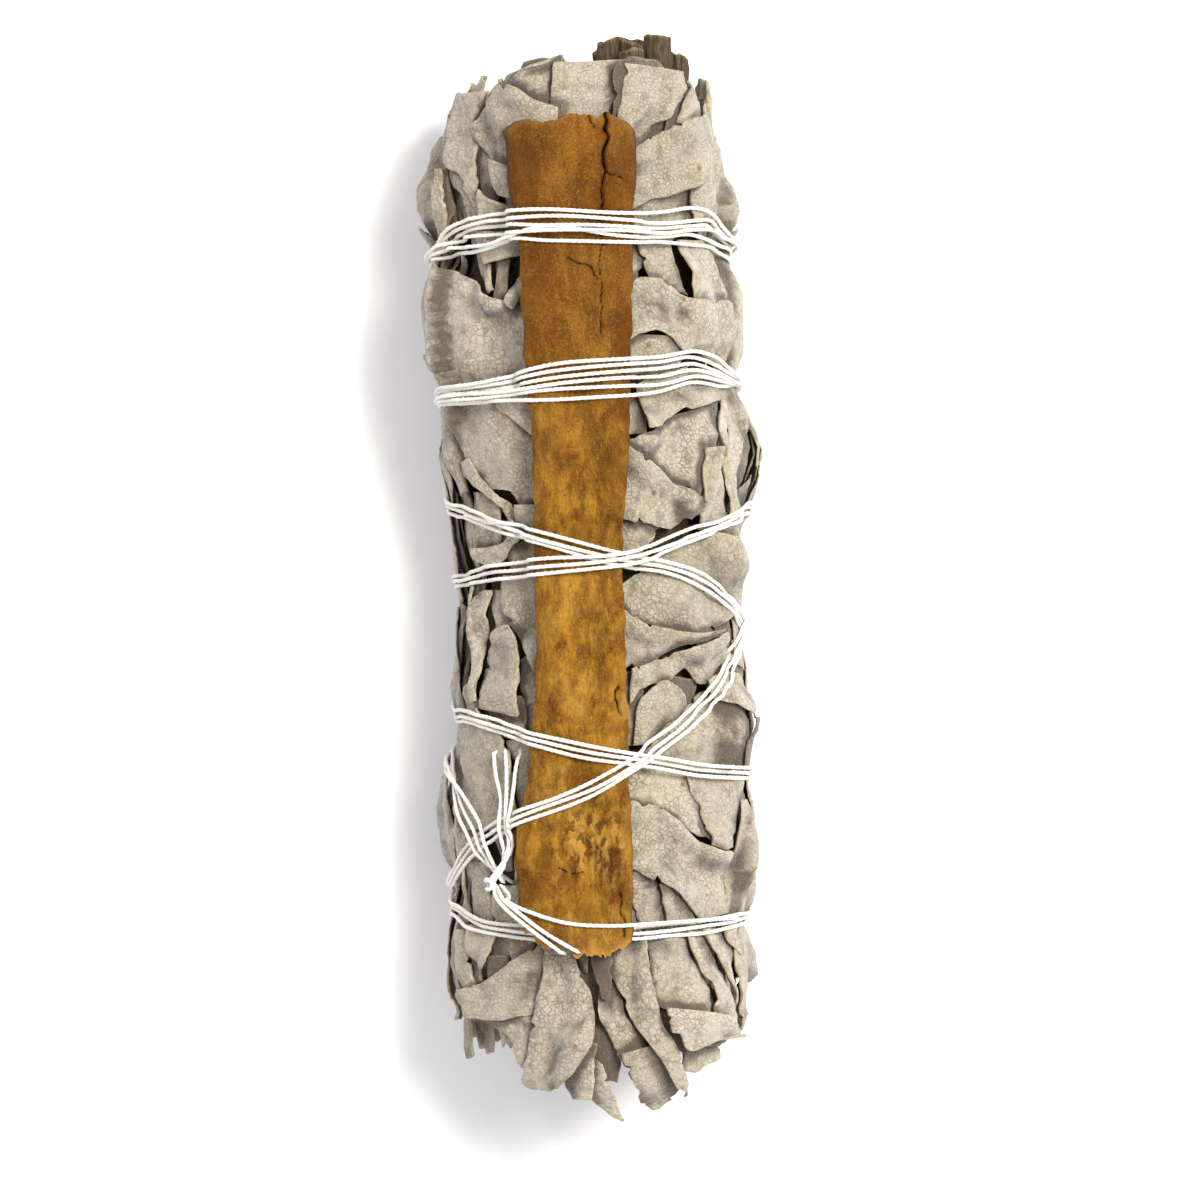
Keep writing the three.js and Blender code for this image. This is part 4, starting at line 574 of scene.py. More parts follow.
@dataclass
class Sheets:
    """Meshes gathered for one piece, with a mark of four values at each point."""

    points: list[Array] = field(default_factory=list)
    faces: list[NDArray[np.int64]] = field(default_factory=list)
    marks: list[Array] = field(default_factory=list)
    materials: list[NDArray[np.int64]] = field(default_factory=list)
    where: list[Array] = field(default_factory=list)
    size: int = 0

    def add(self, points: Array, faces: NDArray[np.int64], marks: Array, material: int = 0,
            where: Array | None = None) -> None:
        """Adds points in the source's millimetres, their faces and their marks."""
        spot = np.zeros((points.size // 3, 3)) if where is None else where.reshape(-1, 3)
        self.where.append(spot)
        self.points.append(points.reshape(-1, 3))
        self.faces.append(faces + self.size)
        self.marks.append(marks.reshape(-1, 4))
        self.materials.append(np.full(len(faces), material))
        self.size += points.size // 3

    def darken(self, highest: Array, nearest: Array) -> None:
        """Paints shade, as brown, onto what lies deep under or beside higher leaves."""
        for spot, marks in zip(self.where, self.marks, strict=True):
            row, column = Surface.cells(spot[:, 0], spot[:, 1])
            depth = highest[row, column % ROUND_CELLS] - spot[:, 2]
            # Painted shade: brown where a point lies deep below the blurred height round it, or just below a higher
            # neighbour's edge.
            painted_shade = 0.85 * np.clip((depth - 0.75) / 1.0, 0, 1)
            step = nearest[row, column % ROUND_CELLS] - spot[:, 2]
            painted_shade = np.maximum(painted_shade, 0.85 * np.clip((step - 0.32) / 0.35, 0, 1)) * (spot[:, 1] != 0)
            marks[:, 2] = np.maximum(marks[:, 2], painted_shade)

    def build(self, name: str, offset: Array, materials: Sequence[bpy.types.Material]) -> bpy.types.Object:
        """Makes the piece as one smooth-shaded object."""
        mesh = bpy.data.meshes.new(name)
        points = (np.concatenate(self.points) + offset) * MM
        faces = np.concatenate(self.faces)
        mesh.vertices.add(len(points))
        mesh.vertices.foreach_set("co", points.ravel())
        mesh.loops.add(faces.size)
        mesh.loops.foreach_set("vertex_index", faces.ravel())
        mesh.polygons.add(len(faces))
        mesh.polygons.foreach_set("loop_start", np.arange(0, faces.size, 4))
        mesh.polygons.foreach_set("loop_total", np.full(len(faces), 4))
        mesh.polygons.foreach_set("use_smooth", np.ones(len(faces), bool))
        marks = mesh.attributes.new("marks", "FLOAT_COLOR", "POINT")
        marks.data.foreach_set("color", np.concatenate(self.marks).astype(np.float32).ravel())
        for material in materials:
            mesh.materials.append(material)
        mesh.polygons.foreach_set("material_index", np.concatenate(self.materials).astype(np.int32))
        mesh.update()
        mesh.validate()
        piece = bpy.data.objects.new(name, mesh)
        bpy.context.scene.collection.objects.link(piece)
        log.info("%s has %d faces", name, len(faces))
        return piece


def grid_faces(rows: int, columns: int, start: int = 0, is_ring: bool = False) -> NDArray[np.int64]:
    """Quads of a grid of points; a ring's last column joins its first."""
    i, j = np.meshgrid(np.arange(rows - 1), np.arange(columns if is_ring else columns - 1), indexing="ij")
    k = (j + 1) % columns
    quad = np.stack([i * columns + j, i * columns + k, (i + 1) * columns + k, (i + 1) * columns + j], -1)
    return quad.reshape(-1, 4) + start


def shell_faces(rows: int, columns: int) -> NDArray[np.int64]:
    """Quads of a closed sheet whose points are an outer grid and then an inner one."""
    count = rows * columns
    outer = grid_faces(rows, columns)
    inner = grid_faces(rows, columns, count)[:, ::-1]
    rim = np.concatenate([
        np.arange(columns - 1),
        np.arange(rows - 1) * columns + columns - 1,
        (rows - 1) * columns + np.arange(columns - 1, 0, -1),
        np.arange(rows - 1, 0, -1) * columns,
    ])
    after = np.roll(rim, -1)
    walls = np.stack([rim, rim + count, after + count, after], -1)
    return np.concatenate([outer, inner, walls])


def facing_out(points: Array, faces: NDArray[np.int64]) -> NDArray[np.int64]:
    """Turns a closed mesh's faces round if they point inwards."""
    corner = points.reshape(-1, 3)[faces]
    cross = np.cross(corner[:, 2] - corner[:, 0], corner[:, 3] - corner[:, 1])
    volume = (corner.mean(1) * cross).sum()
    return faces if volume > 0 else faces[:, ::-1]


LEAF_BLADE = 0.28
LEAF_GAP = 0.37
LEAF_STEP = 0.45


def lay_leaf(leaf: Leaf, surface: Surface, sheets: Sheets, draw: np.random.Generator) -> None:
    """Lays one leaf over the surface and adds its mesh.

    Args:
        leaf: The leaf's edges and look.
        surface: Heights laid so far, which the leaf then raises.
        sheets: The piece that takes the mesh.
        draw: Source of the leaf's drawn values.
    """
    seed = int(draw.integers(1, 10_000))
    lengths = [np.abs(np.diff(np.array(edge), axis=0)).sum() for edge in (leaf.left, leaf.right)]
    rows = max(8, int(max(lengths) / LEAF_STEP))
    left = smooth_line(leaf.left, rows)
    right = smooth_line(leaf.right, rows)
    width = np.linalg.norm(right - left, axis=1)
    columns = max(7, int(width.max() / LEAF_STEP))
    s = np.linspace(0, 1, rows)[:, None]
    u = 0.5 - 0.5 * np.cos(math.pi * (0.06 + 0.88 * np.linspace(0, 1, columns)))[None, :]
    u = (u - u.min()) / (u.max() - u.min())
    run = s * max(lengths)
    ragged = 0.08 * smooth_noise(run / 0.8, run * 0 + 3, seed) + 0.2 * smooth_noise(run / 2.3, run * 0, seed)
    ragged_b = 0.08 * smooth_noise(run / 0.8, run * 0 + 9, seed) + 0.2 * smooth_noise(run / 2.3, run * 0 + 6, seed)
    notch = np.clip(smooth_noise(run / 1.3, run * 0 + 12, seed) - 0.6, 0, 1) * 1.6
    notch_b = np.clip(smooth_noise(run / 1.1, run * 0 + 15, seed) - 0.6, 0, 1) * 1.6
    across = (right - left) / np.maximum(width, 0.2)[:, None]
    share = np.minimum(width / 3, 1)[:, None]
    low = left + across * (ragged + notch) * share
    high = right + across * (ragged_b - notch_b) * share
    t = low[:, 0:1] * (1 - u) + high[:, 0:1] * u
    y = low[:, 1:2] * (1 - u) + high[:, 1:2] * u
    off = (u - 0.5) * width[:, None]
    end = 0.25 * smooth_noise(off / 1.1, off * 0 + 4, seed) * np.clip((s - 0.8) / 0.2, 0, 1)
    way = np.gradient((left + right) / 2, axis=0)
    way = way / np.maximum(np.linalg.norm(way, axis=1), 1e-6)[:, None]
    t = t + way[:, 0:1] * end
    y = y + way[:, 1:2] * end

    angle = angle_at(t, y)
    curls = leaf.curl or tuple(draw.uniform(-0.15, 0.6, 2))
    edge_distance = np.minimum(off + width[:, None] / 2, width[:, None] / 2 - off)
    tip_distance = np.minimum(run, run.max() - run) + 0 * u
    near_edge = np.exp(-np.maximum(edge_distance, 0) / 1.1)
    curl = near_edge * np.where(u < 0.5, curls[0], curls[1])
    curl *= 0.55 + 0.45 * smooth_noise(run / 3.1 + 0 * u, u * 1.6 + 2, seed + 1)
    curl += draw.uniform(0, 0.7) * np.exp(-np.maximum(run.max() - run, 0) / 1.6)
    wrinkle = 0.2 * smooth_noise(t / 1.9, y / 1.9, seed + 2) + 0.07 * smooth_noise(t / 0.8, y / 0.8, seed + 3)
    wrinkle += 0.22 * smooth_noise(t / 5.0, y / 5.0, seed + 4)
    lane = off / 2.7 + 0.9 * smooth_noise(run / 8 + 0 * u, 0 * u + 5, seed + 5)
    fold = np.clip(1 - 2.2 * np.abs(smooth_noise(lane + 7, run / 12 + 3 + 0 * u, seed + 6)), 0, 1)
    wrinkle += draw.uniform(0.1, 0.6) * fold**2 * np.clip(width[:, None] / 7, 0, 1)
    crumple = np.clip(1 - 2.5 * np.abs(smooth_noise(t / 1.5, y / 1.5, seed + 7)), 0, 1)
    wrinkle += 0.2 * crumple**3
    rolled = -0.24 * np.exp(-((np.maximum(edge_distance, 0) / 0.4) ** 2))
    side = 1.0 if draw.uniform() < 0.35 else -1.0
    rib = side * 0.2 * np.exp(-((off / 0.28) ** 2)) * np.clip(width[:, None] / 4, 0, 1)
    chevron = np.abs(off) * 0.75 - run
    lateral = side * 0.05 * np.clip(1.6 * np.cos(chevron * 2 * math.pi / 3.4) - 0.6, 0, 1)
    lateral = lateral * np.clip(np.abs(off) / 0.6, 0, 1) * np.clip(edge_distance / 1.2, 0, 1)

    tilt = draw.uniform(-0.6, 0.6)
    wrinkle += abs(tilt) * (u if tilt > 0 else 1 - u) * np.clip(width[:, None] / 4, 0, 1)
    free = 1 - 0.9 * surface.press(angle, y)
    base = surface.drape(angle, y, LEAF_GAP + leaf.lift)
    height = base + (np.maximum(curl, 0) + np.maximum(wrinkle + 0.1, 0)) * free + rib + lateral + rolled * free
    outer = place(angle, y, height)
    inner = place(angle, y, height - LEAF_BLADE, LEAF_BLADE * 0.6)
    surface.raise_to(angle, y, height)

    rim = np.exp(-np.maximum(np.minimum(edge_distance, tip_distance), 0) / 0.13)
    rim = np.maximum(rim, 0.6 * np.exp(-((off / 0.16) ** 2)) * (width[:, None] > 4.5) * (s > 0.05))
    # A SHADED look carries painted shade into the tint and brown marks.
    bright, brown = leaf.look.value
    tint = 0.5 + 0.5 * np.clip(bright + draw.uniform(-0.45, 0.45), -1, 1)
    pattern = draw.uniform(0, 1)
    marks = np.stack([rim, 0 * rim + tint, 0 * rim + brown, 0 * rim + pattern], axis=-1)
    points = np.stack([outer, inner])
    faces = facing_out(points, shell_faces(rows, columns))
    where = np.stack([angle, y, height], -1)
    sheets.add(points, faces, np.stack([marks, marks]), where=np.stack([where, where]))


class SeededDraw:
    """The same row of numbers every time, as in the part's source."""

    def __init__(self, seed: int) -> None:
        self.state = seed

    def __call__(self) -> float:
        self.state = (self.state * 1664525 + 1013904223) % 4294967296
        return self.state / 4294967296


LEAF_OVAL = ((0.5, 0.45), (0.22, 0.95), (-0.1, 1.0), (-0.36, 0.62), (-0.5, 0.12))


def oval_leaf(t: float, y: float, length: float, half: float, turn: float, look: Look = Look.GREY) -> Leaf:
    """A pointed oval leaf about (t, y), its base towards the stem end."""
    edges = []
    for side in (-1, 1):
        edges.append([
            (
                t + math.cos(turn) * side * w * half - math.sin(turn) * s * length,
                y + math.sin(turn) * side * w * half + math.cos(turn) * s * length,
            )
            for s, w in LEAF_OVAL
        ])
    return Leaf(edges[0], edges[1], look)


def row_leaves(seed: int, middle_t: float, spread_t: float) -> list[Leaf]:
    """The leaves of a hidden sprig that the solids have."""
    draw = SeededDraw(seed)
    leaves = []
    for row in range(5):
        length = 25 + 6 * draw()
        half = 4.6 + 1.6 * draw()
        y = 36.5 - row * 17.5 + 4 * (draw() - 0.5)
        t = middle_t + spread_t * (draw() - 0.5)
        turn = (draw() - 0.5) * 0.6
        leaves.append(oval_leaf(t, y, length, half, turn))
    return leaves


def filler_leaves(draw: np.random.Generator, low: float, high: float, count: int) -> list[Leaf]:
    """Smaller leaves between the rows, low and high giving their range round the bundle."""
    looks = [Look.GREY, Look.GREY, Look.CREAM, Look.SHADED]
    leaves = []
    for k in range(count):
        y = 43 - 82 * (k + draw.uniform(0.2, 0.8)) / count
        length = draw.uniform(13, 22)
        half = draw.uniform(2.2, 4.2)
        t = draw.uniform(low, high)
        turn = draw.uniform(-0.75, 0.75)
        leaves.append(oval_leaf(t, y, length, half, turn, looks[draw.integers(len(looks))]))
    return leaves


@dataclass(frozen=True)
class Sprig:
    """A sprig of leaves: its CAD node, its leaves, and its range of directions at the ends."""

    name: str
    leaves: Sequence[Leaf]
    directions: tuple[float, float]


def sprigs(draw: np.random.Generator) -> list[Sprig]:
    """The six sprigs, those at the back first."""
    found = []
    for name, seed, side, middle, directions in (
        ("back_left", 45, -1, 34.5, (-3.1, -2.3)),
        ("back_right", 34, 1, 34.5, (2.3, 3.1)),
        ("left", 56, -1, 22.5, (-2.25, -1.45)),
        ("right", 23, 1, 22.5, (1.45, 2.25)),
    ):
        low, high = sorted((side * (middle - 5), side * (middle + 5.5)))
        fillers = filler_leaves(draw, low, high, 17)
        found.append(Sprig(name, fillers + row_leaves(seed, side * middle, 2), directions))
    found.append(Sprig("front_left", FRONT_LEFT_LEAVES, (-1.4, -0.05)))
    found.append(Sprig("front_right", FRONT_RIGHT_LEAVES, (0.05, 1.4)))
    return found


END_ROOTS = ((34.0, 47.0, 1), (-31.0, -45.5, -1))


def lay_end_leaves(sprig: Sprig, sheets: Sheets, draw: np.random.Generator) -> None:
    """Adds the inner leaf ends that fill the bundle's two open ends."""
    low, high = sprig.directions
    for root, tip, way in END_ROOTS:
        for depth in (-1.2, -2.6, -4.2, -6.0, -8.2, -10.0):
            for _ in range(3):
                direction = draw.uniform(low, high)
                reach = tip + way * draw.uniform(-1.5, 3.2) - way * abs(depth) * 0.15
                half = draw.uniform(2.2, 4.4)
                rows, columns = 16, 9
                s = np.linspace(0, 1, rows)[:, None]
                u = np.linspace(-1, 1, columns)[None, :]
                shape = np.sqrt(np.clip(1 - (np.maximum(s - 0.35, 0) / 0.66) ** 2, 0, 1)) + 0.05
                seed = int(draw.integers(1, 10_000))
                off = u * half * shape * (1 + 0.08 * smooth_noise(s * 9, u * 0, seed))
                y = root + (reach - root) * s + 0.4 * smooth_noise(u * 2 + 5, s * 0, seed + 1) * s
                _, a, _ = bundle(y)
                angle = direction + off / np.maximum(a + depth, 3.0)
                bow = draw.uniform(-0.6, 0.9) * u**2 * s + draw.uniform(-3.2, 1.0) * s**3
                height = depth + bow + 0.4 * smooth_noise(off / 1.6 + 9, s * 6, seed + 2)
                outer = place(angle, y, height)
                inner = place(angle, y, height - LEAF_BLADE)
                rim = np.exp(-np.minimum((1 - np.abs(u)) * half * shape, (1 - s) * 12) / 0.3)
                tint = 0.5 + draw.uniform(-0.35, 0.25)
                brown = np.clip(draw.uniform(-0.2, 0.55), 0, 1)
                marks = np.stack([rim, 0 * rim + tint, 0 * rim + brown, 0 * rim + draw.uniform()], -1)
                points = np.stack([outer, inner])
                faces = facing_out(points, shell_faces(rows, columns))
                sheets.add(points, faces, np.stack([marks, marks]))


def packed_middle() -> Sheets:
    """The inner leaves, packed too tight to see apart, as a dark sheet of painted shade."""
    sheets = Sheets()
    stations = np.concatenate([[46.5, 46.2, 45, 43], np.arange(40, -38, -1.5), [-39, -41, -42.5, -43.5, -43.8]])
    level = np.interp(stations, [-43.8, -42, -38, 40, 44.5, 46.5], [-12.5, -7.5, -2.4, -2.4, -7.5, -12.5])
    columns = 96
    angle = np.linspace(0, 2 * math.pi, columns, endpoint=False)[None, :]
    y = stations[:, None]
    height = level[:, None] + 0.5 * smooth_noise(angle * 6 / math.pi * 3, y / 2.2, 71)
    points = place(angle, y + 0 * angle, np.maximum(height, -9.0))
    faces = grid_faces(len(stations), columns, is_ring=True)
    caps = []
    for row in (0, len(stations) - 1):
        first = row * columns
        k = np.arange(columns // 2 - 1)
        ring = np.stack([first + k, first + k + 1, first + columns - 2 - k, first + columns - 1 - k], -1)
        caps.append(ring if row else ring[:, ::-1])
    faces = np.concatenate([faces, *caps])
    sheets.add(points, facing_out(points, faces), np.zeros(points.shape[:2] + (4,)))
    return sheets


@dataclass(frozen=True)
class Stem:
    """One cut stem: the sprig's name, x, rise over the axis, radius and top y."""

    name: str
    x: float
    rise: float
    radius: float
    top: float


STEM_SWELL = 0.28
STEMS = (
    Stem("left", 1.5, 0.4, 0.85, 54.0),
    Stem("front_left", 3.9, 2.5, 0.95, 52.8),
    Stem("front_right", 6.5, 0.3, 1.1, 54.3),
    Stem("right", 8.6, -1.6, 0.8, 52.5),
    Stem("back_right", 3.95, -0.4, 1.2, 53.8),
    Stem("back_left", 1.0, -2.3, 0.8, 53.0),
)


def stem_sheets(stem: Stem, seed: int) -> Sheets:
    """A square, ribbed stem with a rough cut end and a sunk pith."""
    sheets = Sheets()
    columns = 48
    run = np.arange(STEM_FOOT, stem.top, 0.3)
    turn = np.linspace(0, 2 * math.pi, columns, endpoint=False)
    rows = len(run)
    y = run[:, None] + 0 * turn[None, :]
    ribs = STEM_SWELL + 0.09 * np.cos(4 * turn) + 0.05 * np.cos(8 * turn + 0.6)
    radius = stem.radius * (0.9 + ribs[None, :] + 0.1 * smooth_noise(y * 1.1, 2.5 * turn[None, :], seed))
    cut = 0.45 * np.cos(turn[None, :] + seed) + 0.25 * smooth_noise(y * 0 + 2, turn[None, :] * 1.2, seed + 1)
    y = y + cut * np.clip((y - stem.top + 1.5) / 1.5, 0, 1)
    rings_y = [y]
    rings_r = [radius]
    for share, sink in ((0.93, -0.06), (0.7, -0.02), (0.5, 0.5), (0.25, 0.7), (0.02, 0.65)):
        rings_y.append(y[-1:] - sink)
        rings_r.append(radius[-1:] * share)
    y = np.concatenate([y[:1], *rings_y])
    radius = np.concatenate([radius[:1] * 0.02, *rings_r])
    x = stem.x + radius * np.sin(turn)[None, :]
    z = AXIS_HEIGHT + stem.rise + radius * np.cos(turn)[None, :]
    points = np.stack([x, y, z], -1)
    marks = np.zeros(points.shape[:2] + (4,))
    marks[rows:, :, 0] = 1.0
    marks[rows + 2:, :, 0] = 0.35
    faces = grid_faces(len(y), columns, is_ring=True)
    sheets.add(points, facing_out(points, faces), marks)
    return sheets


# The bark strip: y, left edge and right edge
BARK_EDGES = np.array([
    (45.7, -8.15, 3.8), (44, -8.2, 3.9), (40, -8.2, 4.1), (30, -7.2, 3.9), (22.5, -6.9, 3.8),
    (12.5, -6, 3.5), (2.5, -5.8, 2.9), (-7.5, -5.6, 3.2), (-17.5, -6.3, 3.6), (-27.5, -7.7, 3.9),
    (-32.5, -7.4, 3.8), (-36.4, -6.8, 3.8), (-37.6, -6.6, 3.7),
])
BARK_TOP = ((-8.3, 44.1), (-7.7, 44.8), (-6.6, 45.2), (-4.8, 44.9), (-3.4, 45.3), (-1.6, 45.8), (0.4, 45.4),
            (1.4, 45.8), (3.0, 45.4), (3.7, 44.7), (4.2, 44.0))
BARK_BOTTOM = ((-7.6, -35.9), (-6.4, -36.6), (-5.2, -37.4), (-3.8, -37.1), (-2.4, -37.9), (-0.6, -37.5),
               (0.8, -37.9), (2.2, -37.1), (3.1, -37.4), (3.9, -36.2))
BARK_THICKNESS = 1.3
BARK_RISE = 1.0


@dataclass(frozen=True)
class Crack:
    """A crack in the bark along points, with its half width and depth."""

    points: Sequence[Point]
    half: float
    depth: float


BARK_CRACKS = (
    Crack(((1.0, 46.5), (1.4, 44.9), (1.0, 44.2), (1.5, 43.4), (0.9, 41.6), (1.2, 40.2)), 0.085, 1.0),
    Crack(((1.2, 40.2), (0.8, 38.4), (1.0, 36.9), (0.6, 35.4)), 0.06, 0.7),
    Crack(((0.6, 35.4), (0.9, 33), (0.6, 31), (0.9, 28), (0.7, 24)), 0.045, 0.2),
    Crack(((1.1, 40.1), (1.8, 39.6), (2.4, 39.7), (3.1, 39.1)), 0.05, 0.25),
    Crack(((-0.6, 45.6), (0.2, 44.4), (1.2, 44.2)), 0.05, 0.3),
    Crack(((2.6, -31.5), (2.9, -32.4), (2.7, -33.5), (3.2, -34.4), (3.1, -35.8)), 0.07, 0.4),
    Crack(((-3.4, -29.1), (-2.1, -29.7), (-0.9, -29.5)), 0.05, 0.2),
    Crack(((2.5, -11.1), (2.2, -11.9), (2.3, -12.9), (2.8, -13.9)), 0.07, 0.4),
    Crack(((-2.4, 31.5), (-1.6, 31.0), (-0.9, 30.9), (-0.2, 30.6), (0.4, 29.4)), 0.07, 0.25),
)


def distance_to_line(x: Array, y: Array, points: Sequence[Point]) -> Array:
    """Distance from each point to a line of straight runs."""
    best = np.full(x.shape, 99.0)
    for (x0, y0), (x1, y1) in zip(points[:-1], points[1:], strict=True):
        run = (x1 - x0) ** 2 + (y1 - y0) ** 2
        s = np.clip(((x - x0) * (x1 - x0) + (y - y0) * (y1 - y0)) / run, 0, 1)
        best = np.minimum(best, np.hypot(x - x0 - s * (x1 - x0), y - y0 - s * (y1 - y0)))
    return best


def lay_bark(surface: Surface) -> Sheets:
    """The cinnamon bark strip over the leaves, cracked and chipped."""
    rows, columns = 420, 76
    v = np.linspace(0, 1, rows)[:, None]
    v[1], v[-2] = 0.0008, 0.9992
    u = np.linspace(0, 1, columns)[None, :]
    u[0, 1], u[0, -2] = 0.005, 0.995
    rough_x = -8.2 + 12.2 * u
    top = np.interp(rough_x, *np.array(BARK_TOP).T)
    bottom = np.interp(rough_x, *np.array(BARK_BOTTOM).T)
    top = top + 0.2 * smooth_noise(rough_x / 0.7, rough_x * 0, 5) + 0.12 * smooth_noise(rough_x / 0.25, rough_x * 0, 19)
    bottom = bottom + 0.4 * smooth_noise(rough_x / 0.7, rough_x * 0, 6) + 0.3 * smooth_noise(rough_x / 0.27, rough_x * 0, 18)
    y = top * (1 - v) + bottom * v
    left = along(BARK_EDGES, y, 1) + 0.16 * smooth_noise(y / 1.3, y * 0, 7)
    right = along(BARK_EDGES, y, 2) + 0.16 * smooth_noise(y / 1.1, y * 0, 8)
    x = left + (right - left) * u
    angle = angle_at(x, y)
    level = surface.drape(angle, y, 0.05, reach=14)
    smooth = level.copy()
    for _ in range(3):
        padded = np.pad(smooth, ((16, 16), (4, 4)), mode="edge")
        smooth = spread_box(padded, 16, 4)[16:-16, 4:-4]
    level = np.maximum(smooth, level - 0.6)
    edge = np.abs(2 * u - 1)
    crown = 0.3 * (1 - edge**2) - 0.12 * np.clip((edge - 0.93) / 0.07, 0, 1) ** 2
    relief = 0.3 * smooth_noise(x / 3.0, y / 5.0, 9) + 0.13 * smooth_noise(x / 1.1, y / 1.9, 10)
    relief += 0.06 * smooth_noise(x / 0.35, y / 0.9, 11) + 0.05 * smooth_noise(x / 0.4, y / 0.5, 12)
    layered = np.exp(-(((x - 0.2) / 3.6) ** 4) - (((y + 26.5) / 4.2) ** 4))
    relief += layered * (0.4 * smooth_noise(x / 1.4, y / 0.8, 13) - 0.35 * np.abs(smooth_noise(x / 0.9, y / 0.6, 14)))
    crack = np.zeros_like(x)
    for line in BARK_CRACKS:
        wander = 0.1 * smooth_noise(y * 1.4, x * 1.4, 15) + 0.07 * smooth_noise(y * 4.1, x * 3.1, 16)
        near = distance_to_line(x + wander, y, line.points)
        shade = np.exp(-((near / (line.half * 1.7)) ** 2))
        relief -= line.depth * shade
        crack = np.maximum(crack, shade)
    broken = smooth_noise(x * 1.3, y * 0.9, 17)
    flaked = np.clip((x - 2.3 - 0.5 * broken) / 0.2, 0, 1) * np.clip((1.7 - np.abs(y + 12.7) - 0.6 * broken) / 0.3, 0, 1)
    relief -= 0.5 * flaked
    step = np.clip((x - 1.0) / 0.4, 0, 1) * np.clip((y - 34) / 6, 0, 1)
    relief += 0.45 * step
    height = level + BARK_RISE + BARK_THICKNESS + crown + relief
    outer = place(angle, y, height)
    outer[..., 0] = x
    inner = place(angle, y, level + 0.3 * BARK_RISE + 0 * height)
    surface.raise_to(angle, y, height)
    end = np.minimum(top - y, y - bottom) + 0 * x
    chip = np.exp(-np.maximum(end, 0) / 0.5) * np.where(y < 0, 1.0, 0.3) + 0.6 * flaked
    # The fourth mark rises towards the long edges and carries painted shade there.
    marks = np.stack([crack, np.clip(chip, 0, 1), layered, edge**4 + 0 * crack], -1)
    points = np.stack([outer, inner])
    sheets = Sheets()
    sheets.add(points, facing_out(points, shell_faces(rows, columns)), np.stack([marks, marks]))
    return sheets


def spread_box(values: Array, tall: int, wide: int) -> Array:
    """Mean over a box of tall and wide cells each way."""
    values = sum(np.roll(values, k, 0) for k in range(-tall, tall + 1)) / (2 * tall + 1)
    return sum(np.roll(values, k, 1) for k in range(-wide, wide + 1)) / (2 * wide + 1)


# The thread's passes over the front, left to right. Each is three strands of [x, y] points.
UPPER_BAND = (
    ((-16.7, 32.9), (-14.3, 34.6), (-11.3, 35.6), (-7.3, 36.1), (-4.3, 36.2), (2.7, 35.8), (6.7, 36.0),
     (10.7, 36.6), (13.7, 35.9), (15.3, 35.0)),
    ((-16.7, 32.7), (-14.3, 34.1), (-11.3, 35.1), (-7.3, 35.5), (-4.3, 35.6), (2.7, 35.2), (6.7, 35.0),
     (10.7, 35.4), (13.7, 35.4), (15.3, 34.6)),
    ((-16.7, 32.5), (-14.3, 33.7), (-11.3, 34.5), (-7.3, 34.9), (-4.3, 34.7), (2.7, 34.6), (6.7, 34.6),
     (10.7, 34.9), (13.7, 34.9), (15.3, 34.2)),
    ((-16.7, 32.2), (-14.3, 33.2), (-11.3, 33.8), (-7.3, 34.0), (-4.3, 34.2), (2.7, 34.2), (6.7, 34.1),
     (10.7, 34.5), (13.7, 34.5), (15.3, 33.9)),
    ((-16.7, 31.9), (-14.3, 32.7), (-11.3, 32.8), (-9.3, 33.0), (-7.3, 33.7), (-5.3, 34.4), (-3.3, 34.6),
     (2.7, 33.7), (6.7, 33.7), (10.7, 33.9), (15.3, 33.0)),
    ((-16.7, 31.6), (-14.3, 32.2), (-11.3, 32.3), (-7.3, 33.5), (-4.3, 33.3), (2.7, 33.0), (6.7, 33.1),
     (10.7, 33.1), (13.7, 32.8), (15.3, 32.4)),
)
SECOND_BAND = (
    ((-16.5, 18.3), (-14.3, 18.7), (-9.3, 19.2), (-3.3, 20.9), (2.7, 21.4), (6.7, 21.7), (10.7, 22.3),
     (13.2, 21.7), (15.1, 20.6)),
    ((-16.5, 18.1), (-14.3, 18.4), (-9.3, 18.9), (-3.3, 20.2), (2.7, 20.8), (6.7, 21.1), (10.7, 21.7),
     (13.2, 21.0), (15.1, 20.3)),
    ((-16.5, 17.8), (-14.3, 18.0), (-9.3, 18.5), (-3.3, 19.5), (2.7, 20.2), (6.7, 20.5), (10.7, 21.0),
     (13.2, 20.4), (15.1, 19.9)),
    ((-16.5, 17.5), (-14.3, 17.7), (-9.3, 18.1), (-3.3, 18.9), (2.7, 19.5), (6.7, 19.7), (10.7, 20.4),
     (13.2, 19.9), (15.1, 19.5)),
    ((-16.5, 17.2), (-14.3, 17.4), (-9.3, 17.7), (-3.3, 18.4), (2.7, 18.7), (6.7, 18.9), (10.7, 19.8),
     (13.2, 19.4), (15.1, 19.2)),
    ((-16.5, 16.9), (-14.3, 17.1), (-9.3, 17.3), (-3.3, 17.3), (2.7, 17.8), (6.7, 18.3), (10.7, 19.2),
     (13.2, 18.9), (15.1, 18.9)),
)

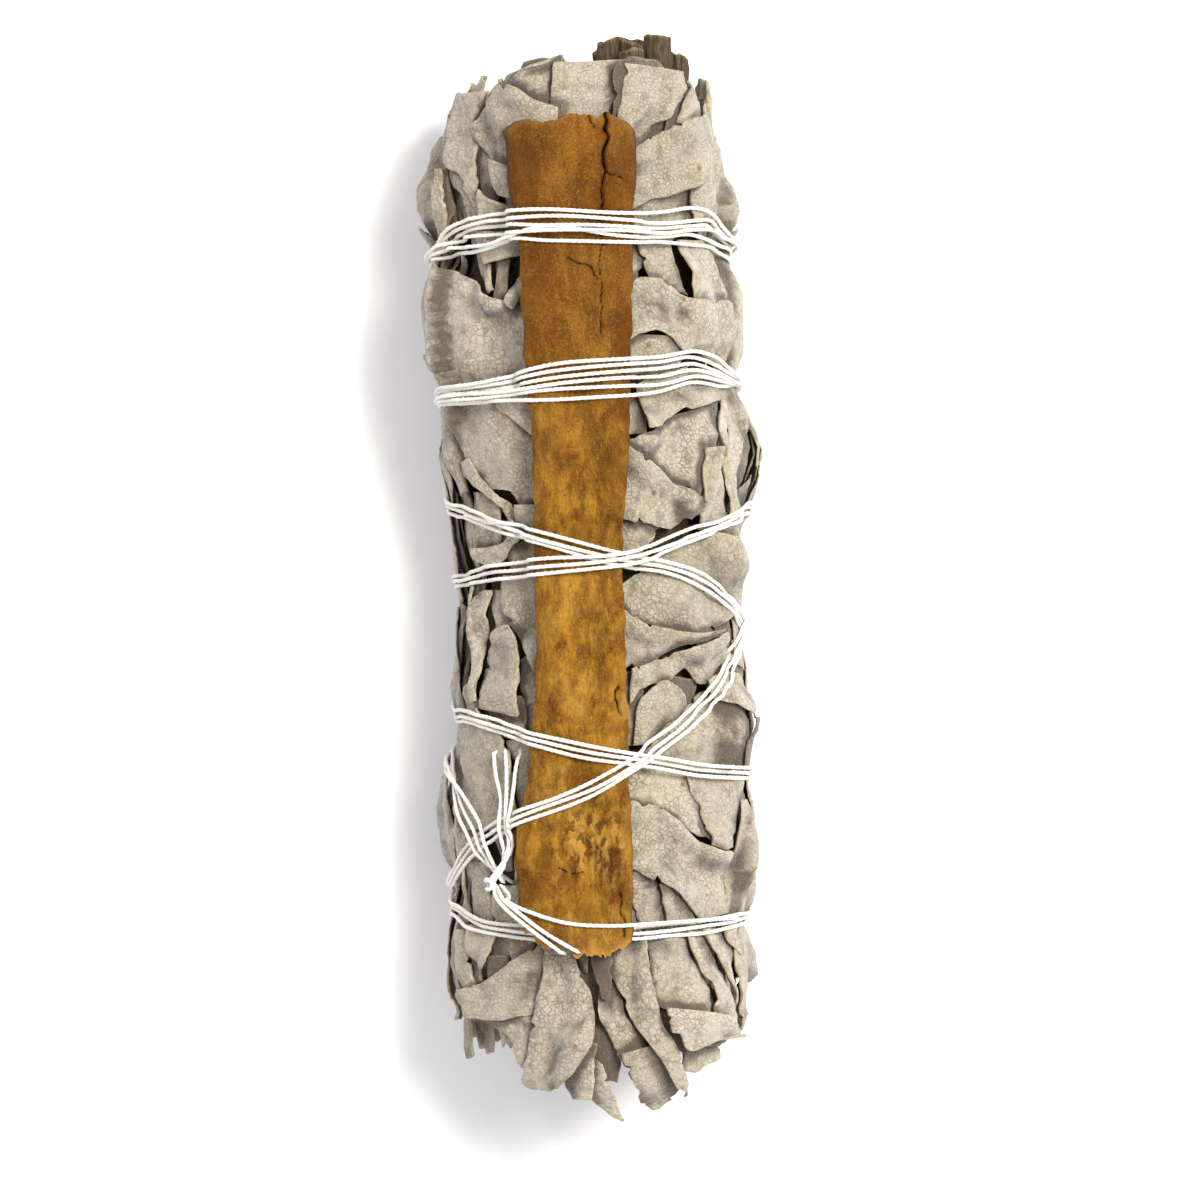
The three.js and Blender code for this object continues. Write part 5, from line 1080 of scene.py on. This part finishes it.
# Other passes: the middle strand's x and y and, at each point, how far the outer two lie from it
SPREAD_PASSES = {
    "falling": ((-14.4, 6.3, 0.35), (-11.3, 5.4, 0.4), (-7.3, 4.4, 0.45), (-1.3, 2.6, 0.5), (2.7, 1.5, 0.35),
                (7.7, 0.6, 0.4), (10.7, -0.3, 0.5), (12.7, -1.5, 0.5), (15.9, -4, 0.35)),
    "rising": ((-14.6, -0.4, 0.4), (-11.3, 0.1, 0.6), (-7.3, 0.6, 0.65), (-4.3, 0.9, 0.65), (0.7, 1.3, 0.45),
               (2.7, 1.6, 0.4), (5.7, 2.3, 0.5), (10.7, 4.2, 0.5), (16, 6.1, 0.4)),
    "lower": ((-15.9, -14.1, 0.4), (-12.3, -14.4, 0.5), (-9.3, -15.2, 0.55), (-5.3, -16.3, 0.5),
              (-1.3, -17.4, 0.5), (2.7, -18.2, 0.45), (6.7, -18.8, 0.45), (10.7, -19.5, 0.4),
              (16.2, -19.9, 0.35)),
    "base": ((-15.6, -33.8, 0.5), (-13.3, -34.6, 0.5), (-11.3, -35.1, 0.45), (-6.8, -35.6, 0.5),
             (-2, -35.7, 0.5), (3.9, -35.7, 0.5), (6.7, -35.5, 0.5), (10.7, -35.2, 0.5), (16.4, -34.6, 0.4)),
    "steep": ((-16, -29.5, 0.5), (-13.3, -27.5, 0.6), (-9.3, -25.2, 0.6), (-6.3, -23.9, 0.5),
              (-0.3, -21.4, 0.55), (2.7, -19.5, 0.45), (5.7, -17.3, 0.5), (8.7, -15.1, 0.55),
              (12.7, -11.3, 0.5), (16.2, -6.6, 0.4)),
    "to_knot": ((-15.9, -21.5, 0.5), (-13.8, -23.7, 0.8), (-12.3, -26, 0.85), (-10.8, -29, 0.5),
                (-9.2, -30.8, 0.15)),
}
WINDING = ("upper_first", "upper_second", "second_first", "second_second", "falling", "rising", "lower",
           "base", "steep", "to_knot")
LOOSE_STRANDS = (
    ((-9.2, -30.8), (-7.3, -32.5), (-4.8, -33.7), (-1.8, -34.6), (1.7, -34.8), (3.9, -34.7), (8.7, -34.5),
     (15.5, -34.3)),
    ((-9.2, -30.8), (-6.8, -33), (-4.6, -35), (-2.8, -36.3), (-0.9, -37.5)),
    ((-9.3, -30.9), (-7.2, -33.2), (-5, -35.3), (-3.3, -36.8), (-2.4, -37.6)),
    ((-10.2, -17.3), (-10, -20), (-9.3, -22.5), (-9, -26.5), (-9.2, -30.8)),
    ((-9, -17.3), (-8.7, -20), (-8.5, -23.5), (-8.4, -27), (-9.1, -30.7)),
    ((-7.7, -17.3), (-8, -19.5), (-8, -23.5), (-8.1, -27.5), (-9.1, -30.7)),
)
THREAD_RADIUS = 0.2
THREAD_STEP = 0.3
THREAD_SIDES = 9
TWIST_LENGTH = 2.1


def strand_points(name: str, k: int) -> list[Point]:
    """Points of one of a pass's three strands, k counting from 0."""
    bands = {"upper_first": UPPER_BAND[:3], "upper_second": UPPER_BAND[3:],
             "second_first": SECOND_BAND[:3], "second_second": SECOND_BAND[3:]}
    if name in bands:
        return list(bands[name][2 - k])
    points = np.array(SPREAD_PASSES[name])
    way = np.gradient(points[:, :2], axis=0)
    way /= np.linalg.norm(way, axis=1)[:, None]
    room = (np.maximum(points[:, 2] * 1.15, 0.55) * (k - 1))[:, None]
    if name == "to_knot":
        room = (points[:, 2] * (k - 1))[:, None]
    side = np.stack([-way[:, 1], way[:, 0]], -1)
    return [tuple(point) for point in points[:, :2] + side * room]


def upper_hull(x: Array, y: Array) -> Array:
    """Least concave line over the points, read at each x."""
    keep: list[int] = []
    for i in range(len(x)):
        while len(keep) > 1:
            p, q = keep[-2], keep[-1]
            if (y[q] - y[p]) * (x[i] - x[p]) > (y[i] - y[p]) * (x[q] - x[p]):
                break
            keep.pop()
        keep.append(i)
    return np.interp(x, x[keep], y[keep])


def thread_route(angle: Array, y: Array, surface: Surface) -> Array:
    """Lays a thread tight over the surface and raises the surface under it.

    Args:
        angle: Directions of the thread's points, a step apart.
        y: Their y.
        surface: Heights laid so far.

    Returns:
        The thread's points in the source's millimetres.
    """
    support = np.full(angle.shape, -9.0)
    for dy in (-0.2, 0.0, 0.2):
        for turn in (-0.012, 0.0, 0.012):
            support = np.maximum(support, surface.at(angle + turn, y + dy))
    support = support + THREAD_RADIUS * 0.9
    flat = place(angle, y, 0 * y)
    run = np.concatenate([[0], np.cumsum(np.linalg.norm(np.diff(flat, axis=0), axis=1))])
    way = np.gradient(flat, run, axis=0)
    bend = np.linalg.norm(np.gradient(way, run, axis=0), axis=1)
    bend = np.convolve(np.pad(bend, 8, mode="edge"), np.full(17, 1 / 17), mode="valid")
    step = np.gradient(run)
    droop = np.cumsum(np.cumsum(np.clip(bend, 0, 0.2) * step) * step)
    height = upper_hull(run, support - droop) + droop
    height = np.minimum(height, support + 1.6)
    soft = np.convolve(np.pad(height, 3, mode="edge"), np.full(7, 1 / 7), mode="valid")
    height = np.maximum(soft, support - 0.05)
    surface.raise_to(angle, y, height + THREAD_RADIUS)
    for dy in (-0.2, 0.2):
        surface.raise_to(angle, y + dy, height + THREAD_RADIUS * 0.5)
    return place(angle, y, height, THREAD_RADIUS + 0.05)


def thread_sheet(route: Array, sheets: Sheets, phase: float) -> None:
    """Adds a twisted three-ply thread along a route."""
    run = np.concatenate([[0], np.cumsum(np.linalg.norm(np.diff(route, axis=0), axis=1))])
    even = np.linspace(0, run[-1], max(8, int(run[-1] / THREAD_STEP)))
    route = np.stack([np.interp(even, run, route[:, c]) for c in range(3)], -1)
    way = np.gradient(route, axis=0)
    way /= np.linalg.norm(way, axis=1)[:, None]
    out = route - np.stack([0 * even, route[:, 1], AXIS_HEIGHT + 0 * even], -1)
    side = np.cross(out, way)
    side /= np.linalg.norm(side, axis=1)[:, None]
    up = np.cross(way, side)
    turn = np.linspace(0, 2 * math.pi, THREAD_SIDES, endpoint=False)[None, :]
    twist = (2 * math.pi * even / TWIST_LENGTH)[:, None] + phase
    radius = THREAD_RADIUS * (0.93 + 0.2 * np.cos(3 * (turn - twist)))
    radius = radius * (1 + 0.06 * smooth_noise(even[:, None] * 1.7, turn + phase, 31))
    ends = np.clip(np.minimum(even, even[-1] - even) / 0.2, 0.05, 1)[:, None]
    radius = radius * ends
    points = route[:, None, :] + radius[..., None] * (
        np.cos(turn)[..., None] * up[:, None, :] + np.sin(turn)[..., None] * side[:, None, :])
    # Grooves between the plies, which the cotton finish paints grey as shade.
    painted_groove_shade = 0.5 - 0.5 * np.cos(3 * (turn - twist))
    marks = np.stack([painted_groove_shade, 0 * painted_groove_shade, 0 * painted_groove_shade, 0 * painted_groove_shade], -1)
    faces = grid_faces(len(route), THREAD_SIDES, is_ring=True)
    sheets.add(points, facing_out(points, faces), marks)


def dense(points: Sequence[Point]) -> tuple[Array, Array]:
    """Directions and y of a thread through unrolled points."""
    line = np.array(points)
    count = max(12, int(np.linalg.norm(np.diff(line, axis=0), axis=1).sum() / 0.25))
    line = smooth_line(points, count)
    return angle_at(line[:, 0], line[:, 1]), line[:, 1]


ROUND_SCALE = 15.0
DENSE_STEP = 0.25
PAST_SIDE = 4.5


def strand_turns(k: int) -> list[tuple[Array, Array]]:
    """Directions and y of one whole strand, cut at the middle of the back into its turns."""
    control: list[Point] = []
    for i, name in enumerate(WINDING):
        points = np.array(strand_points(name, k))
        angle = angle_at(points[:, 0], points[:, 1]) + 2 * math.pi * i
        arc = angle * ROUND_SCALE
        first = (points[1, 1] - points[0, 1]) / (arc[1] - arc[0])
        last = (points[-1, 1] - points[-2, 1]) / (arc[-1] - arc[-2])
        arc = np.concatenate([[arc[0] - PAST_SIDE], arc, [arc[-1] + PAST_SIDE]])
        heights = [points[0, 1] - first * PAST_SIDE * 0.6, *points[:, 1], points[-1, 1] + last * PAST_SIDE * 0.6]
        if name == WINDING[-1]:
            arc, heights = arc[:-1], heights[:-1]
        if control:
            low = control[-1]
            control.append(((low[0] + arc[0]) / 2, (low[1] + heights[0]) / 2))
        control += list(zip(arc, heights, strict=True))
    length = np.linalg.norm(np.diff(np.array(control), axis=0), axis=1).sum()
    line = smooth_line(control, int(length / DENSE_STEP))
    line[:, 1] += 0.11 * smooth_noise(line[:, 0] / 6.0, 0 * line[:, 0] + 11 * k, 41)
    angle = line[:, 0] / ROUND_SCALE
    turn = np.floor((angle + math.pi) / (2 * math.pi)).astype(int)
    return [(angle[turn == i], line[turn == i, 1]) for i in range(len(WINDING))]


def lay_thread(surface: Surface, turns: Sequence[Sequence[tuple[Array, Array]]],
               base: Sequence[Array]) -> Sheets:
    """The whole winding, its knot and its cut ends.

    Args:
        surface: Heights of leaves, the base band and the bark.
        turns: The three strands' turns.
        base: The laid base turn of each strand.
    """
    sheets = Sheets()
    routes: list[list[Array]] = [[], [], []]
    for i, name in enumerate(WINDING):
        for k in range(3):
            routes[k].append(base[k] if name == "base" else thread_route(*turns[k][i], surface))
    for k in range(3):
        line = np.concatenate(routes[k])
        for _ in range(3):
            line[1:-1] = (line[:-2] + 2 * line[1:-1] + line[2:]) / 4
        thread_sheet(line, sheets, 2.1 * k)
    for i, points in enumerate(LOOSE_STRANDS):
        angle, y = dense(points)
        thread_sheet(thread_route(angle, y, surface), sheets, 0.7 * i)
    turn = np.linspace(0, 4 * math.pi, 60)
    knot_t, knot_y = KNOT[0] + 0.45 * np.cos(turn), KNOT[1] + 0.5 * np.sin(turn)
    thread_sheet(thread_route(angle_at(knot_t, knot_y), knot_y, surface), sheets, 0.3)
    return sheets


KNOT = (-9.15, -30.8)


def colour(code: str) -> tuple[float, float, float, float]:
    """Linear colour from hex sRGB."""
    parts = [int(code[i:i + 2], 16) / 255 for i in (1, 3, 5)]
    linear = [p / 12.92 if p <= 0.04045 else ((p + 0.055) / 1.055) ** 2.4 for p in parts]
    return (linear[0], linear[1], linear[2], 1.0)


class Finish:
    """A procedural material and the helpers that build its nodes."""

    def __init__(self, name: str, roughness: float) -> None:
        self.material = bpy.data.materials.new(name)
        self.material.use_nodes = True
        self.tree = self.material.node_tree
        self.shader = self.tree.nodes["Principled BSDF"]
        self.shader.inputs["Roughness"].default_value = roughness
        self.shader.inputs["Specular IOR Level"].default_value = 0.25

    def node(self, kind: str, settings: dict | None = None, **links: object) -> bpy.types.Node:
        """Adds a node; a link is a socket or a plain value, named by the input with _ for spaces."""
        node = self.tree.nodes.new(kind)
        for key, value in (settings or {}).items():
            setattr(node, key, value)
        for key, value in links.items():
            socket = node.inputs[int(key[1:])] if key[0] == "i" and key[1:].isdigit() else node.inputs[
                key.replace("_", " ")]
            if isinstance(value, bpy.types.NodeSocket):
                self.tree.links.new(value, socket)
            else:
                socket.default_value = value
        return node

    def position(self) -> bpy.types.NodeSocket:
        """Object coordinates in millimetres."""
        where = self.node("ShaderNodeTexCoord").outputs["Object"]
        return self.node("ShaderNodeVectorMath", {"operation": "SCALE"}, i0=where, Scale=1000.0).outputs[0]

    def noise(self, where: bpy.types.NodeSocket, size: float, detail: float = 3.0,
              roughness: float = 0.55) -> bpy.types.NodeSocket:
        """Noise whose features are about size millimetres."""
        return self.node("ShaderNodeTexNoise", None, Vector=where, Scale=1 / size, Detail=detail,
                         Roughness=roughness).outputs["Fac"]

    def ramp(self, value: bpy.types.NodeSocket, low: float, high: float, to_low: float = 0.0,
             to_high: float = 1.0) -> bpy.types.NodeSocket:
        """Maps low to high onto to_low to to_high, held at both ends."""
        return self.node("ShaderNodeMapRange", None, Value=value, From_Min=low, From_Max=high,
                         To_Min=to_low, To_Max=to_high).outputs[0]

    def mix(self, share: object, first: object, second: object, blend: str = "MIX") -> bpy.types.NodeSocket:
        """Mixes two colours."""
        node = self.node("ShaderNodeMix", {"data_type": "RGBA", "blend_type": blend}, i0=share, i6=first,
                         i7=second)
        return node.outputs[2]

    def math(self, operation: str, first: object, second: object) -> bpy.types.NodeSocket:
        """One sum, product or the like."""
        return self.node("ShaderNodeMath", {"operation": operation}, i0=first, i1=second).outputs[0]

    def marks(self) -> tuple[bpy.types.NodeSocket, bpy.types.NodeSocket, bpy.types.NodeSocket,
                             bpy.types.NodeSocket]:
        """The four values that the mesh carries."""
        attribute = self.node("ShaderNodeAttribute", {"attribute_name": "marks"})
        parts = self.node("ShaderNodeSeparateColor", None, Color=attribute.outputs["Color"])
        return parts.outputs[0], parts.outputs[1], parts.outputs[2], attribute.outputs["Alpha"]

    def finish(self, base: bpy.types.NodeSocket, relief: bpy.types.NodeSocket, depth: float) -> None:
        """Joins the colour and the bump, whose full depth is in millimetres, to the shader."""
        bump = self.node("ShaderNodeBump", None, Height=relief, Distance=depth * MM, Strength=1.0)
        self.tree.links.new(base, self.shader.inputs["Base Color"])
        self.tree.links.new(bump.outputs[0], self.shader.inputs["Normal"])


def sage_leaf() -> bpy.types.Material:
    """Dried white sage: grey felt over a net of veins, with thin cream edges, and painted shade in folds and recesses.
    """
    finish = Finish("sage leaf, dried and felted", 0.92)
    finish.shader.inputs["Sheen Weight"].default_value = 0.35
    finish.shader.inputs["Sheen Roughness"].default_value = 0.6
    rim, tint, brown, pattern = finish.marks()
    where = finish.position()
    shift = finish.node("ShaderNodeVectorMath", {"operation": "ADD"}, i0=where,
                        i1=finish.node("ShaderNodeCombineXYZ", None, X=finish.math("MULTIPLY", pattern, 37.0),
                                       Z=finish.math("MULTIPLY", pattern, 23.0)).outputs[0]).outputs[0]
    wobble = finish.node("ShaderNodeTexNoise", None, Vector=shift, Scale=1.2, Detail=2.0).outputs["Color"]
    bent = finish.node("ShaderNodeVectorMath", {"operation": "MULTIPLY_ADD"}, i0=wobble,
                       i1=(0.5, 0.5, 0.5), i2=shift).outputs[0]
    net = finish.node("ShaderNodeTexVoronoi", {"feature": "DISTANCE_TO_EDGE"}, Vector=bent,
                      Scale=finish.ramp(pattern, 0.0, 1.0, 1.5, 2.4)).outputs["Distance"]
    vein = finish.ramp(net, 0.02, 0.12, 1.0, 0.0)
    faint = finish.ramp(finish.noise(shift, 2.8, 3.0), 0.38, 0.62, 0.12, 0.65)
    patch = finish.ramp(finish.noise(shift, 4.5, 3.0), 0.35, 0.65)
    fleck = finish.ramp(finish.noise(shift, 0.5, 4.0, 0.7), 0.4, 0.62)
    felt = finish.noise(shift, 0.16, 3.0, 0.75)
    crumple = finish.noise(shift, 1.3, 5.0, 0.6)
    base = finish.mix(tint, colour(LEAF_DARK), colour(LEAF_LIGHT))
    dusk = finish.math("MULTIPLY", finish.math("FRACT", finish.math("MULTIPLY", pattern, 7.3), 0.0), 0.5)
    base = finish.mix(dusk, base, colour(LEAF_DUSK))
    base = finish.mix(finish.math("MULTIPLY", patch, 0.4), base, colour(LEAF_WARM))
    base = finish.mix(finish.math("MULTIPLY", fleck, 0.22), base, colour(LEAF_FLECK))
    base = finish.mix(finish.math("MULTIPLY", vein, faint), base, colour(LEAF_VEIN))
    base = finish.mix(finish.ramp(felt, 0.36, 0.6, 0.34, 0.0), base, colour(LEAF_VEIN))
    base = finish.mix(finish.ramp(felt, 0.55, 0.75, 0.0, 0.5), base, colour(LEAF_FLECK))
    # Painted shade: darker in the low folds of the crumple bump.
    base = finish.mix(finish.ramp(crumple, 0.38, 0.5, 0.42, 0.0), base, colour(LEAF_VEIN))
    stain = finish.ramp(finish.noise(shift, 1.8, 5.0, 0.7), 0.55, 0.7)
    base = finish.mix(finish.math("MULTIPLY", stain, 0.45), base, colour(LEAF_STAIN))
    # The brown mark is the leaf's own browning and also painted shade, from Sheets.darken and the SHADED look.
    base = finish.mix(brown, base, colour(LEAF_BROWN))
    speck = finish.node("ShaderNodeTexVoronoi", None, Vector=shift, Scale=0.42).outputs["Distance"]
    speck = finish.math("MULTIPLY", finish.ramp(speck, 0.08, 0.14, 0.8, 0.0), finish.ramp(patch, 0.4, 0.6))
    base = finish.mix(speck, base, colour(LEAF_SPECK))
    edge = finish.math("MULTIPLY", finish.ramp(rim, 0.4, 0.95, 0.0, 0.7), finish.ramp(crumple, 0.4, 0.6, 0.35, 1.0))
    aged_and_shaded = finish.math("MAXIMUM", brown, finish.ramp(finish.noise(shift, 2.6, 3.0), 0.5, 0.62))
    base = finish.mix(edge, base, finish.mix(aged_and_shaded, colour(LEAF_EDGE), colour(LEAF_STAIN)))
    relief = finish.math("SUBTRACT", finish.math("MULTIPLY", felt, 0.3), finish.math("MULTIPLY", vein, 0.25))
    relief = finish.math("ADD", relief, finish.math("MULTIPLY", crumple, 1.5))
    finish.finish(base, relief, 0.22)
    return finish.material


LEAF_DARK = "#857865"
LEAF_LIGHT = "#c3baab"
LEAF_WARM = "#b6aa90"
LEAF_FLECK = "#cdc3ad"
LEAF_VEIN = "#605542"
LEAF_SPECK = "#7a4f28"
LEAF_STAIN = "#80673c"
LEAF_DUSK = "#a7998e"
# LEAF_BROWN serves both brown leaves and painted shade.
LEAF_BROWN = "#3f2f22"
LEAF_EDGE = "#c6b689"


def packed_leaf() -> bpy.types.Material:
    """Inner leaves in the dark of the bundle, painted dark brown as shade."""
    finish = Finish("packed inner leaf, painted shade", 0.95)
    where = finish.position()
    grain = finish.noise(where, 0.9, 5.0, 0.7)
    base = finish.mix(finish.ramp(grain, 0.35, 0.7), colour("#2a2019"), colour("#5a4a3a"))
    finish.finish(base, grain, 0.6)
    return finish.material


def sage_stem() -> bpy.types.Material:
    """Cut sage stem: grey-brown bark in fine ribs, with a pale pith in its cut end."""
    finish = Finish("sage stem, cut and dried", 0.85)
    cut, _, _, _ = finish.marks()
    where = finish.position()
    long = finish.node("ShaderNodeVectorMath", {"operation": "MULTIPLY"}, i0=where, i1=(1, 0.12, 1)).outputs[0]
    fibre = finish.noise(long, 0.22, 4.0, 0.65)
    patch = finish.noise(where, 1.6, 3.0)
    base = finish.mix(finish.ramp(fibre, 0.35, 0.65), colour("#2f251a"), colour("#63543f"))
    base = finish.mix(finish.ramp(patch, 0.5, 0.7, 0.0, 0.5), base, colour("#54452f"))
    base = finish.mix(cut, base, finish.mix(finish.ramp(fibre, 0.4, 0.6), colour("#4a3924"), colour("#8b7753")))
    finish.finish(base, fibre, 0.3)
    return finish.material


def cinnamon() -> bpy.types.Material:
    """Cinnamon bark: orange-brown with long fibres, dark mottles and golden chips, with painted shade along its long
    edges and in its cracks.
    """
    finish = Finish("cinnamon bark, split and dry", 0.8)
    finish.shader.inputs["Specular IOR Level"].default_value = 0.12
    crack, chip, layered, side = finish.marks()
    where = finish.position()
    long = finish.node("ShaderNodeVectorMath", {"operation": "MULTIPLY"}, i0=where, i1=(1, 0.3, 1)).outputs[0]
    wide = finish.node("ShaderNodeVectorMath", {"operation": "MULTIPLY"}, i0=where, i1=(1, 0.7, 1)).outputs[0]
    fibre = finish.noise(long, 0.2, 5.0, 0.65)
    streak = finish.noise(long, 1.2, 5.0, 0.62)
    mottle = finish.noise(wide, 3.4, 6.0, 0.68)
    fine = finish.noise(where, 0.22, 4.0, 0.75)
    gold = finish.ramp(finish.noise(wide, 4.5, 3.0), 0.48, 0.66)
    lengthwise = finish.node("ShaderNodeSeparateXYZ", None, Vector=where).outputs["Y"]
    upper = finish.ramp(finish.math("ADD", lengthwise, finish.ramp(mottle, 0.3, 0.7, -9.0, 9.0)), 8.0, 24.0)
    base = finish.mix(finish.ramp(mottle, 0.39, 0.55), colour("#60360a"), colour("#aa7922"))
    base = finish.mix(finish.math("MULTIPLY", gold, 0.75), base, colour("#c0923a"))
    base = finish.mix(finish.math("MULTIPLY", upper, 0.68), base, colour("#6c3d0f"))
    base = finish.mix(finish.ramp(streak, 0.38, 0.54, 0.55, 0.0), base, colour("#52300a"))
    base = finish.mix(finish.ramp(fibre, 0.38, 0.62, 0.28, 0.0), base, colour("#4c2b08"))
    base = finish.mix(finish.ramp(fine, 0.52, 0.68, 0.0, 0.45), base, colour("#bb8c45"))
    base = finish.mix(finish.ramp(fine, 0.34, 0.47, 0.35, 0.0), base, colour("#472706"))
    blotch = finish.noise(wide, 5.0, 6.0, 0.66)
    base = finish.mix(finish.ramp(blotch, 0.42, 0.5, 0.5, 0.0), base, colour("#5a3008"))
    # Painted shade: darker towards the long edges, where the curved strip turns from the light.
    base = finish.mix(finish.math("MULTIPLY", side, 0.4), base, colour("#532c08"))
    base = finish.mix(finish.math("MULTIPLY", layered, finish.ramp(streak, 0.45, 0.6, 0.0, 0.6)), base,
                      colour("#bd9146"))
    crumbled = finish.ramp(finish.noise(wide, 0.9, 4.0, 0.7), 0.42, 0.5, 0.8, 0.0)
    base = finish.mix(finish.math("MULTIPLY", layered, crumbled), base, colour("#4a2606"))
    base = finish.mix(finish.math("MULTIPLY", chip, 0.75), base, colour("#b98c45"))
    # Painted shade: near black in the cracks.
    base = finish.mix(finish.ramp(crack, 0.25, 0.85), base, colour("#1d0f07"))
    relief = finish.math("ADD", finish.math("MULTIPLY", fibre, 0.5), finish.math("MULTIPLY", fine, 0.5))
    relief = finish.math("ADD", relief, finish.math("MULTIPLY", streak, 1.6))
    finish.finish(base, relief, 0.36)
    return finish.material


def cotton() -> bpy.types.Material:
    """White cotton thread, three plies twisted together."""
    finish = Finish("cotton thread, twisted", 0.85)
    finish.shader.inputs["Sheen Weight"].default_value = 0.4
    painted_groove_shade, _, _, _ = finish.marks()
    fuzz = finish.noise(finish.position(), 0.12, 3.0, 0.7)
    # Painted shade: grey in the grooves between the plies.
    base = finish.mix(finish.ramp(painted_groove_shade, 0.55, 1.0, 0.0, 0.5), colour("#e9e6df"), colour("#9d9589"))
    base = finish.mix(finish.ramp(fuzz, 0.35, 0.6, 0.2, 0.0), base, colour("#cfc9bd"))
    finish.finish(base, fuzz, 0.05)
    return finish.material


# Camera and light, in millimetres and watts
PHOTO_CENTRE = (0.7, -2.5)
FRAME_WIDTH = 120.0
CAMERA_HEIGHT = 1100.0
FRAME_PLANE = 20.0
SENSOR = 36.0


def add_stage(offset: Array) -> None:
    """A pale floor, soft studio light and the camera straight above."""
    half = 3.0
    mesh = bpy.data.meshes.new("floor")
    mesh.from_pydata([(-half, -half, 0), (half, -half, 0), (half, half, 0), (-half, half, 0)], [], [(0, 1, 2, 3)])
    floor = bpy.data.objects.new("floor", mesh)
    bpy.context.scene.collection.objects.link(floor)
    paper = bpy.data.materials.new("floor, white paper")
    paper.use_nodes = True
    paper.node_tree.nodes["Principled BSDF"].inputs["Base Color"].default_value = colour("#f4f4f4")
    paper.node_tree.nodes["Principled BSDF"].inputs["Roughness"].default_value = 1.0
    mesh.materials.append(paper)

    def area(name: str, place_at: Point3, size: float, watts: float, tone: str) -> None:
        light = bpy.data.lights.new(name, "AREA")
        light.color = colour(tone)[:3]
        light.size = size
        light.energy = watts
        lamp = bpy.data.objects.new(name, light)
        lamp.location = place_at
        aim = -np.array(place_at)
        lamp.rotation_euler = Vector(aim).to_track_quat("-Z", "Y").to_euler()
        bpy.context.scene.collection.objects.link(lamp)

    area("key", (0.38, 0.26, 0.88), 0.34, 13.0, "#fffdf4")
    area("fill", (-0.6, 0.1, 0.9), 0.9, 1.4, "#fbfaff")
    world = bpy.data.worlds.new("studio")
    world.use_nodes = True
    world.node_tree.nodes["Background"].inputs["Color"].default_value = colour("#fdfcff")
    world.node_tree.nodes["Background"].inputs["Strength"].default_value = 0.85
    bpy.context.scene.world = world

    camera = bpy.data.cameras.new("camera")
    camera.sensor_width = SENSOR
    camera.lens = SENSOR * (CAMERA_HEIGHT - FRAME_PLANE) / FRAME_WIDTH
    camera.clip_end = 10.0
    eye = bpy.data.objects.new("camera", camera)
    centre_x, centre_y = PHOTO_CENTRE
    eye.location = ((centre_x + offset[0]) * MM, (centre_y + offset[1]) * MM, CAMERA_HEIGHT * MM)
    bpy.context.scene.collection.objects.link(eye)
    bpy.context.scene.camera = eye
    bpy.context.scene.view_settings.view_transform = "Standard"


Point3 = tuple[float, float, float]


def dress(sheets: Sheets, name: str, nodes: Sequence[str], offset: Array,
          materials: Sequence[bpy.types.Material]) -> None:
    """Builds a piece that stands for CAD nodes and rides with the part."""
    piece = sheets.build(name, offset, materials)
    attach(piece, "root")
    if nodes:
        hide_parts(*nodes)


def main() -> None:
    """Builds every piece over the part's frame, and the stage."""
    logging.basicConfig(level=logging.INFO)
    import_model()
    low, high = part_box("sage_stem_left")
    offset = np.array([(low[0] + high[0]) / 2 / MM - 1.5, high[1] / MM - 54.0, 0.0])
    draw = np.random.default_rng(7)
    leaf, middle, stem, bark, thread = sage_leaf(), packed_leaf(), sage_stem(), cinnamon(), cotton()
    turns = [strand_turns(k) for k in range(3)]
    surface = Surface([turn for strand in turns for turn in strand])
    pieces = []
    for sprig in sprigs(draw):
        sheets = Sheets()
        lay_end_leaves(sprig, sheets, draw)
        for each in sprig.leaves:
            lay_leaf(each, surface, sheets, draw)
        pieces.append((sprig.name, sheets))
    # Heights round each cell, broadly and barely blurred, from which darken paints shade.
    highest = spread(spread(window(surface.heights, 5, np.maximum), 4), 4)
    nearest = spread(window(surface.heights, 3, np.maximum), 1)
    for name, sheets in pieces:
        sheets.darken(highest, nearest)
        dress(sheets, f"leaves_{name}", [f"sage_leaves_{name}"], offset, [leaf])
    dress(packed_middle(), "packed_middle", [], offset, [middle])
    for seed, each in enumerate(STEMS):
        dress(stem_sheets(each, 80 + seed), f"stem_{each.name}", [f"sage_stem_{each.name}"], offset,
              [stem])
    base = [thread_route(*turns[k][WINDING.index("base")], surface) for k in range(3)]
    dress(lay_bark(surface), "bark_strip", ["cinnamon_bark"], offset, [bark])
    dress(lay_thread(surface, turns, base), "thread_winding", ["cotton_thread"], offset, [thread])
    add_stage(offset)


if __name__ == "__main__":
    main()
